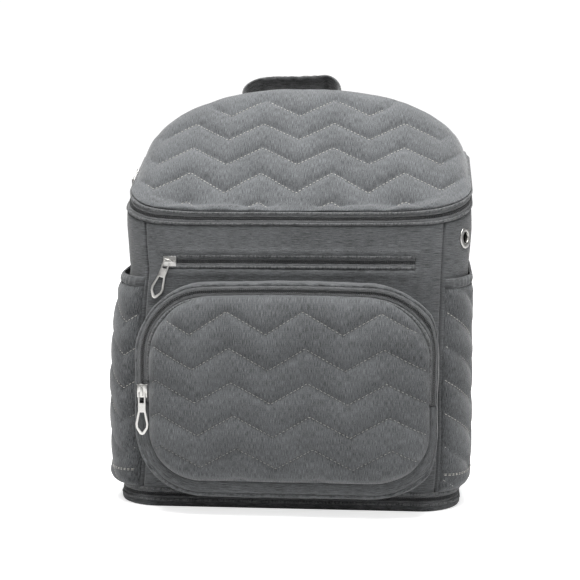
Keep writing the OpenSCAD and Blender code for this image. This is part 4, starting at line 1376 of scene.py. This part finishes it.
def padded_band(name, path2, half_w, half_t, material, side):
    """A padded band that follows a side-view path of (y, z), turned into place for one strap."""
    tangent = unit(np.gradient(path2, axis=0))
    out = np.stack([-tangent[:, 1], tangent[:, 0]], -1)
    q = np.arange(40) * 2 * math.pi / 40
    c, s = np.cos(q), np.sin(q)
    x = half_w[:, None] * (np.sign(c) * np.abs(c) ** 0.38)[None]
    t = half_t[:, None] * (np.sign(s) * np.sqrt(np.abs(s)))[None]
    points = np.stack([x, path2[:, :1] + t * out[:, :1], path2[:, 1:] + t * out[:, 1:]], -1)
    points[..., 1] += 0.35 * noise_at(points, 24, 4.7)
    uv = np.stack(np.broadcast_arrays(arc_lengths(path2)[:, None], x), -1)
    faces = ring_faces(*points.shape[:2])
    obj = new_object(name, splayed(points, side).reshape(-1, 3), faces, material, uv.reshape(-1, 2))
    weld(obj)
    return obj


def build_strap(side):
    """One padded shoulder strap with its piping and webbing, and the adjuster webbing below it."""
    name = "left" if side < 0 else "right"
    t = np.linspace(0.0, 1.0, 70)
    y, z = strap_line(t)
    path = np.stack([y, z], -1)
    path[0, 1] -= 0.2
    half_t = 4.6 * np.minimum(1, 0.42 + 4.5 * t) * np.minimum(1, 0.4 + 5 * (1 - t))
    round_end = np.sqrt(1 - 0.55 * np.maximum(0, (t - 0.93) / 0.07) ** 2)
    half_w = STRAP_W / 2 * (0.94 - 0.10 * np.sin(math.pi * t)) * round_end
    strap = padded_band(f"{name}_shoulder_strap_fabric", path, half_w, half_t, HEATHER, side)
    dress(strap, "shell", "body_fabric", f"{name}_shoulder_strap")
    rearward = np.tile((0.0, 1.0, 0.0), (len(t), 1))
    for edge in (-1, 1):
        line = splayed(np.stack([edge * (half_w - 0.3), y, z], -1), side)
        end = "outer" if edge * side > 0 else "inner"
        pipe = sweep(f"{name}_strap_piping_{end}", line, rearward, round_profile(1.7, 8), PIPING)
        dress(pipe, "shell", "piping")
    web = np.stack([np.zeros_like(t), y + half_t + 0.7, z], -1)[3:-2]
    profile = strip_profile(-WEB_HALF, WEB_HALF, -0.8, 0.6)
    band = sweep(f"{name}_strap_webbing", splayed(web, side), rearward[3:-2], profile, WEBBING)
    dress(band, "shell", "webbing")
    sewing = Stitching(f"{name}_strap_stitches", FINE_STITCH, THREAD, 3.4, 0.75)
    for x in (-10.4, 10.4):
        sewing.add(splayed(web + (x, 0, 0), side), rearward[3:-2])
    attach(sewing.make(), "shell")
    build_adjuster(name, side)


def build_adjuster(name, side):
    """The webbing that rises from its low anchor, turns through the ladder lock and hangs down."""
    lock = np.array(strap_line(np.array(1.0)))
    low, high = np.array([REAR + 2.2, 34.0]), lock - (0, 26.8)
    q = np.linspace(0, 1, 24)[:, None]
    rise = low + (high - low) * q + np.hstack([2.0 * np.sin(math.pi * q), 0 * q])
    turn = lock + np.array([(-1.2, -20), (0.8, -15.5), (3.0, -14.5), (4.0, -19)])
    q = np.linspace(0, 1, 20)
    fall = np.stack([lock[0] + 3.6 - 1.0 * q**2 + 0.6 * np.sin(7 * q), np.linspace(lock[1] - 24, 26, 20)], -1)
    loop = np.pad(np.concatenate([rise, turn, fall]), ((0, 0), (1, 0)))
    loop = follow(loop, np.linspace(0, len(loop) - 1, 120))
    for _ in range(3):
        loop[1:-1] = (loop[:-2] + 2 * loop[1:-1] + loop[2:]) / 4
    normal = np.cross((1.0, 0, 0), unit(np.gradient(loop, axis=0)))
    turned = splayed(loop, side)
    profile = strip_profile(-WEB_HALF, WEB_HALF, -0.7, 0.7)
    tail = sweep(f"{name}_adjuster_webbing", turned, unit(splayed(loop + normal, side) - turned),
                 profile, WEBBING)
    dress(tail, "shell", "webbing", f"{name}_lower_webbing")
    patch = np.stack([np.linspace(-16, 16, 12), np.full(12, REAR + 1.0), np.full(12, 36.0)], -1)
    rearward = np.tile((0.0, 1.0, 0.0), (12, 1))
    profile = strip_profile(-9, 9, -1.4, 1.0, 0.5)
    anchor = sweep(f"{name}_webbing_anchor", splayed(patch, side), rearward, profile, HEATHER)
    dress(anchor, "shell", "body_fabric")


def soft_slab(name, half_w, low, high, radius, out, material, lines_x, lines_z):
    """A rounded rectangular pad on the back, rounded towards +Y, with lines of quilting across and up it."""
    near = REAR + 1.0
    t = np.linspace(-1, 1, 71)
    z = (low + high) / 2 + (high - low) / 2 * np.sin(t * math.pi / 2)
    u = np.sin(np.linspace(-1, 1, 71) * math.pi / 2)
    U, Z = np.meshgrid(u, z, indexing="ij")
    half = rounded_half_w(Z, half_w, low, high, radius)
    X = U * half
    d = np.maximum(0, np.minimum(np.minimum(Z - low, high - Z), half - np.abs(X)))
    rise = (out - near) * np.sqrt(1 - (1 - np.clip(d / 3.0, 0, 1)) ** 2)
    for gap in [X - x for x in lines_x] + [Z - z for z in lines_z]:
        rise = rise - 1.3 * np.exp(-((gap / 2.0) ** 2)) * np.clip(d / 6, 0, 1)
    rise = rise + 0.35 * noise_at(np.stack([X, Z, 0 * X], -1), 28, 6.1) * np.clip(d / 8, 0, 1)
    outer = np.stack([X, near + np.maximum(rise, 0.3), Z], -1)
    inner = np.stack([X, np.full_like(X, near), Z], -1)
    uv = np.stack([X, Z], -1)
    return sheet_object(name, outer[::-1], inner[::-1], uv[::-1], material)


def build_back():
    """The mesh pad and the straps' yoke on the back, and the piping round the back panel."""
    pad = soft_slab("back_pad_mesh", 112.0, 46.0, 318.0, 22.0, REAR + 5.2, MESH_CLOTH,
                    (-58, 58), (120, 182, 244))
    dress(pad, "shell", "mesh_fabric", "back_pad")
    yoke = soft_slab("strap_yoke_fabric", 88.0, YOKE_Z - 1.0, YOKE_Z + 20, 6.0, REAR + 8.6, HEATHER,
                     (), (YOKE_Z + 4.0, YOKE_Z + 16.0))
    dress(yoke, "shell", "body_fabric", "strap_yoke")
    line = arch_outline(1.3, low=SHELL_Z + 1.5)
    path = np.stack([line[:, 0], np.full(len(line), REAR - 1.9), line[:, 1]], -1)
    tangent = unit(np.gradient(path, axis=0))
    normal = np.stack([-tangent[:, 2], 0 * tangent[:, 1], tangent[:, 0]], -1)
    dress(sweep("back_panel_piping", path, normal, round_profile(1.9), PIPING), "shell", "piping")


# ---------------------------------------------------------------- metal and plastic

def rounded(obj, width):
    """Softens a hard CAD piece's edges on a copy that stands for it."""
    copy = obj.copy()
    copy.data = obj.data.copy()
    copy.parent = None
    copy.matrix_world = Matrix.Identity(4)
    copy.name = obj.name + "_finished"
    bpy.context.scene.collection.objects.link(copy)
    middle = np.mean([list(v.co) for v in copy.data.vertices], axis=0) * 1000
    copy.data.transform(Matrix.Translation((settle(middle) - middle) / 1000))
    weld(copy, 0.00002)
    bevel = copy.modifiers.new("edges", "BEVEL")
    bevel.width, bevel.segments = width / 1000, 2
    bevel.limit_method, bevel.angle_limit = "ANGLE", math.radians(35)
    plain = applied(copy)
    copy.modifiers.clear()
    copy.data = plain
    shade_smooth(plain)
    plain.set_sharp_from_angle(angle=math.radians(40))
    return copy


def hung(node):
    """A lining piece that follows the fabric outside it, which leans from the pattern's own shape."""
    mesh = bmesh.new()
    mesh.from_mesh(nodes[node].data)
    heights, widths = SETTLE_Z[3:-1] + [270, 284], (-150, -125, -100, 100, 125, 150)
    for axis, places in ((Vector((0, 0, 1)), heights), (Vector((1, 0, 0)), widths)):
        for place in places:
            whole = mesh.verts[:] + mesh.edges[:] + mesh.faces[:]
            bmesh.ops.bisect_plane(mesh, geom=whole, dist=1e-6, plane_co=axis * (place / 1000), plane_no=axis)
    for vert in mesh.verts:
        vert.co = Vector((settle(np.array(vert.co) * 1000) / 1000).tolist())
    data = bpy.data.meshes.new(node + "_cloth")
    mesh.to_mesh(data)
    mesh.free()
    data.materials.append(LINING)
    dress(linked(node + "_cloth", data), "shell", "lining_fabric", node)


def finish_hard(node, material, body, slot, width):
    """A hard CAD piece with softened edges and its real finish."""
    obj = rounded(nodes[node], width)
    obj.data.materials.clear()
    obj.data.materials.append(material)
    dress(obj, body, slot, node)


def build_hardware():
    """The sliders, pullers, grommet and ladder locks, the shell's lining and the base board."""
    bodies = {
        "base_zip_slider": "base_slider", "base_zip_puller": "base_puller",
        "lid_slider_front": "lid_slider_a", "lid_puller_front": "lid_puller_a",
        "lid_slider_rear": "lid_slider_b", "lid_puller_rear": "lid_puller_b",
        "front_zip_slider": "shell", "front_zip_puller": "front_puller",
        "pocket_zip_slider": "pocket_slider", "pocket_zip_puller": "pocket_puller",
    }
    for node, body in bodies.items():
        finish_hard(node, METAL, body, "satin_metal", 0.32 if "puller" in node else 0.3)
    for node in ("grommet", "grommet_washer"):
        finish_hard(node, METAL, "shell", "satin_metal", 0.45)
    for node in ("left_ladder_lock", "right_ladder_lock"):
        finish_hard(node, PLASTIC, "shell", "black_plastic", 0.8)
    for node in ("lining", "inner_slip_pocket", "front_zip_bag"):
        hung(node)
    board = nodes["base_board"].data
    board.materials.clear()
    board.materials.append(BOARD)


# ---------------------------------------------------------------- camera, floor and lights

VIEW_AZIMUTH, VIEW_ELEVATION = math.radians(5.0), math.radians(5.5)
VIEW_DISTANCE, VIEW_TARGET = 1.3, Vector((-0.005, 0, 0.199))  # in metres
VIEW_LENS = 83.7


def build_camera():
    level = math.cos(VIEW_ELEVATION)
    back = Vector((math.sin(VIEW_AZIMUTH) * level, -math.cos(VIEW_AZIMUTH) * level, math.sin(VIEW_ELEVATION)))
    data = bpy.data.cameras.new("camera")
    data.lens, data.sensor_width = VIEW_LENS, 36.0
    camera = linked("camera", data)
    camera.location = VIEW_TARGET + back * VIEW_DISTANCE
    camera.rotation_mode = "QUATERNION"
    camera.rotation_quaternion = (-back).to_track_quat("-Z", "Y")
    bpy.context.scene.camera = camera


def area_light(name, place, aim, size, power):
    data = bpy.data.lights.new(name, "AREA")
    data.shape, data.size, data.energy = "DISK", size, power
    light = linked(name, data)
    light.location = place
    light.rotation_mode = "QUATERNION"
    light.rotation_quaternion = (Vector(aim) - Vector(place)).to_track_quat("-Z", "Y")


AMBIENT, BACKDROP = 0.2, 1.05  # the even light from all round, and the backdrop that the camera sees


def build_floor():
    """A pale floor that glows to the camera away from the bag, so that it ends without a horizon."""
    mesh = bpy.data.meshes.new("floor")
    mesh.from_pydata([(-6, -6, 0), (6, -6, 0), (6, 6, 0), (-6, 6, 0)], [], [(0, 1, 2, 3)])
    floor = linked("floor", mesh)
    material, tree, surface = shader("pale floor")
    surface.inputs["Base Color"].default_value = (0.8, 0.8, 0.8, 1)
    surface.inputs["Roughness"].default_value = 0.9
    away = add(tree, "ShaderNodeVectorMath", operation="LENGTH")
    tree.links.new(add(tree, "ShaderNodeTexCoord").outputs["Object"], away.inputs[0])
    rise = add(tree, "ShaderNodeMapRange", interpolation_type="SMOOTHSTEP")
    rise.inputs["From Min"].default_value, rise.inputs["From Max"].default_value = 0.15, 0.9
    rise.inputs["To Min"].default_value, rise.inputs["To Max"].default_value = 0.72, 1.0
    tree.links.new(away.outputs["Value"], rise.inputs["Value"])
    seen = add(tree, "ShaderNodeLightPath").outputs["Is Camera Ray"]
    glow = maths(tree, "MULTIPLY", rise.outputs["Result"], seen)
    surface.inputs["Emission Color"].default_value = (1, 1, 1, 1)
    tree.links.new(glow, surface.inputs["Emission Strength"])
    mesh.materials.append(material)


def build_lights():
    """A white backdrop, a dim even light and three soft lights."""
    world = bpy.data.worlds.new("studio")
    bpy.context.scene.world = world
    world.use_nodes = True
    tree = world.node_tree
    sky = tree.nodes["Background"]
    sky.inputs["Color"].default_value = (1, 1, 1, 1)
    seen = add(tree, "ShaderNodeLightPath").outputs["Is Camera Ray"]
    strength = maths(tree, "ADD", maths(tree, "MULTIPLY", seen, BACKDROP - AMBIENT), AMBIENT)
    tree.links.new(strength, sky.inputs["Strength"])
    area_light("soft light overhead", (-0.05, -0.5, 2.0), (0, 0, 0.25), 1.4, 78)
    area_light("fill from the right", (1.6, -1.3, 0.9), (0, 0, 0.2), 1.0, 7)
    area_light("rim from behind", (0.2, 1.4, 1.7), (0, 0, 0.3), 0.9, 12)
    bpy.context.scene.view_settings.view_transform = "Standard"


build_lid()
build_walls()
build_back_panel()
build_pocket_face()
build_pocket_gusset()
build_pocket_zip()
build_mouth_zip()
build_front_zip()
for side in (-1, 1):
    build_side_pocket(side)
    build_strap(side)
build_base()
build_handle()
build_back()
build_hardware()
build_camera()
build_floor()
build_lights()
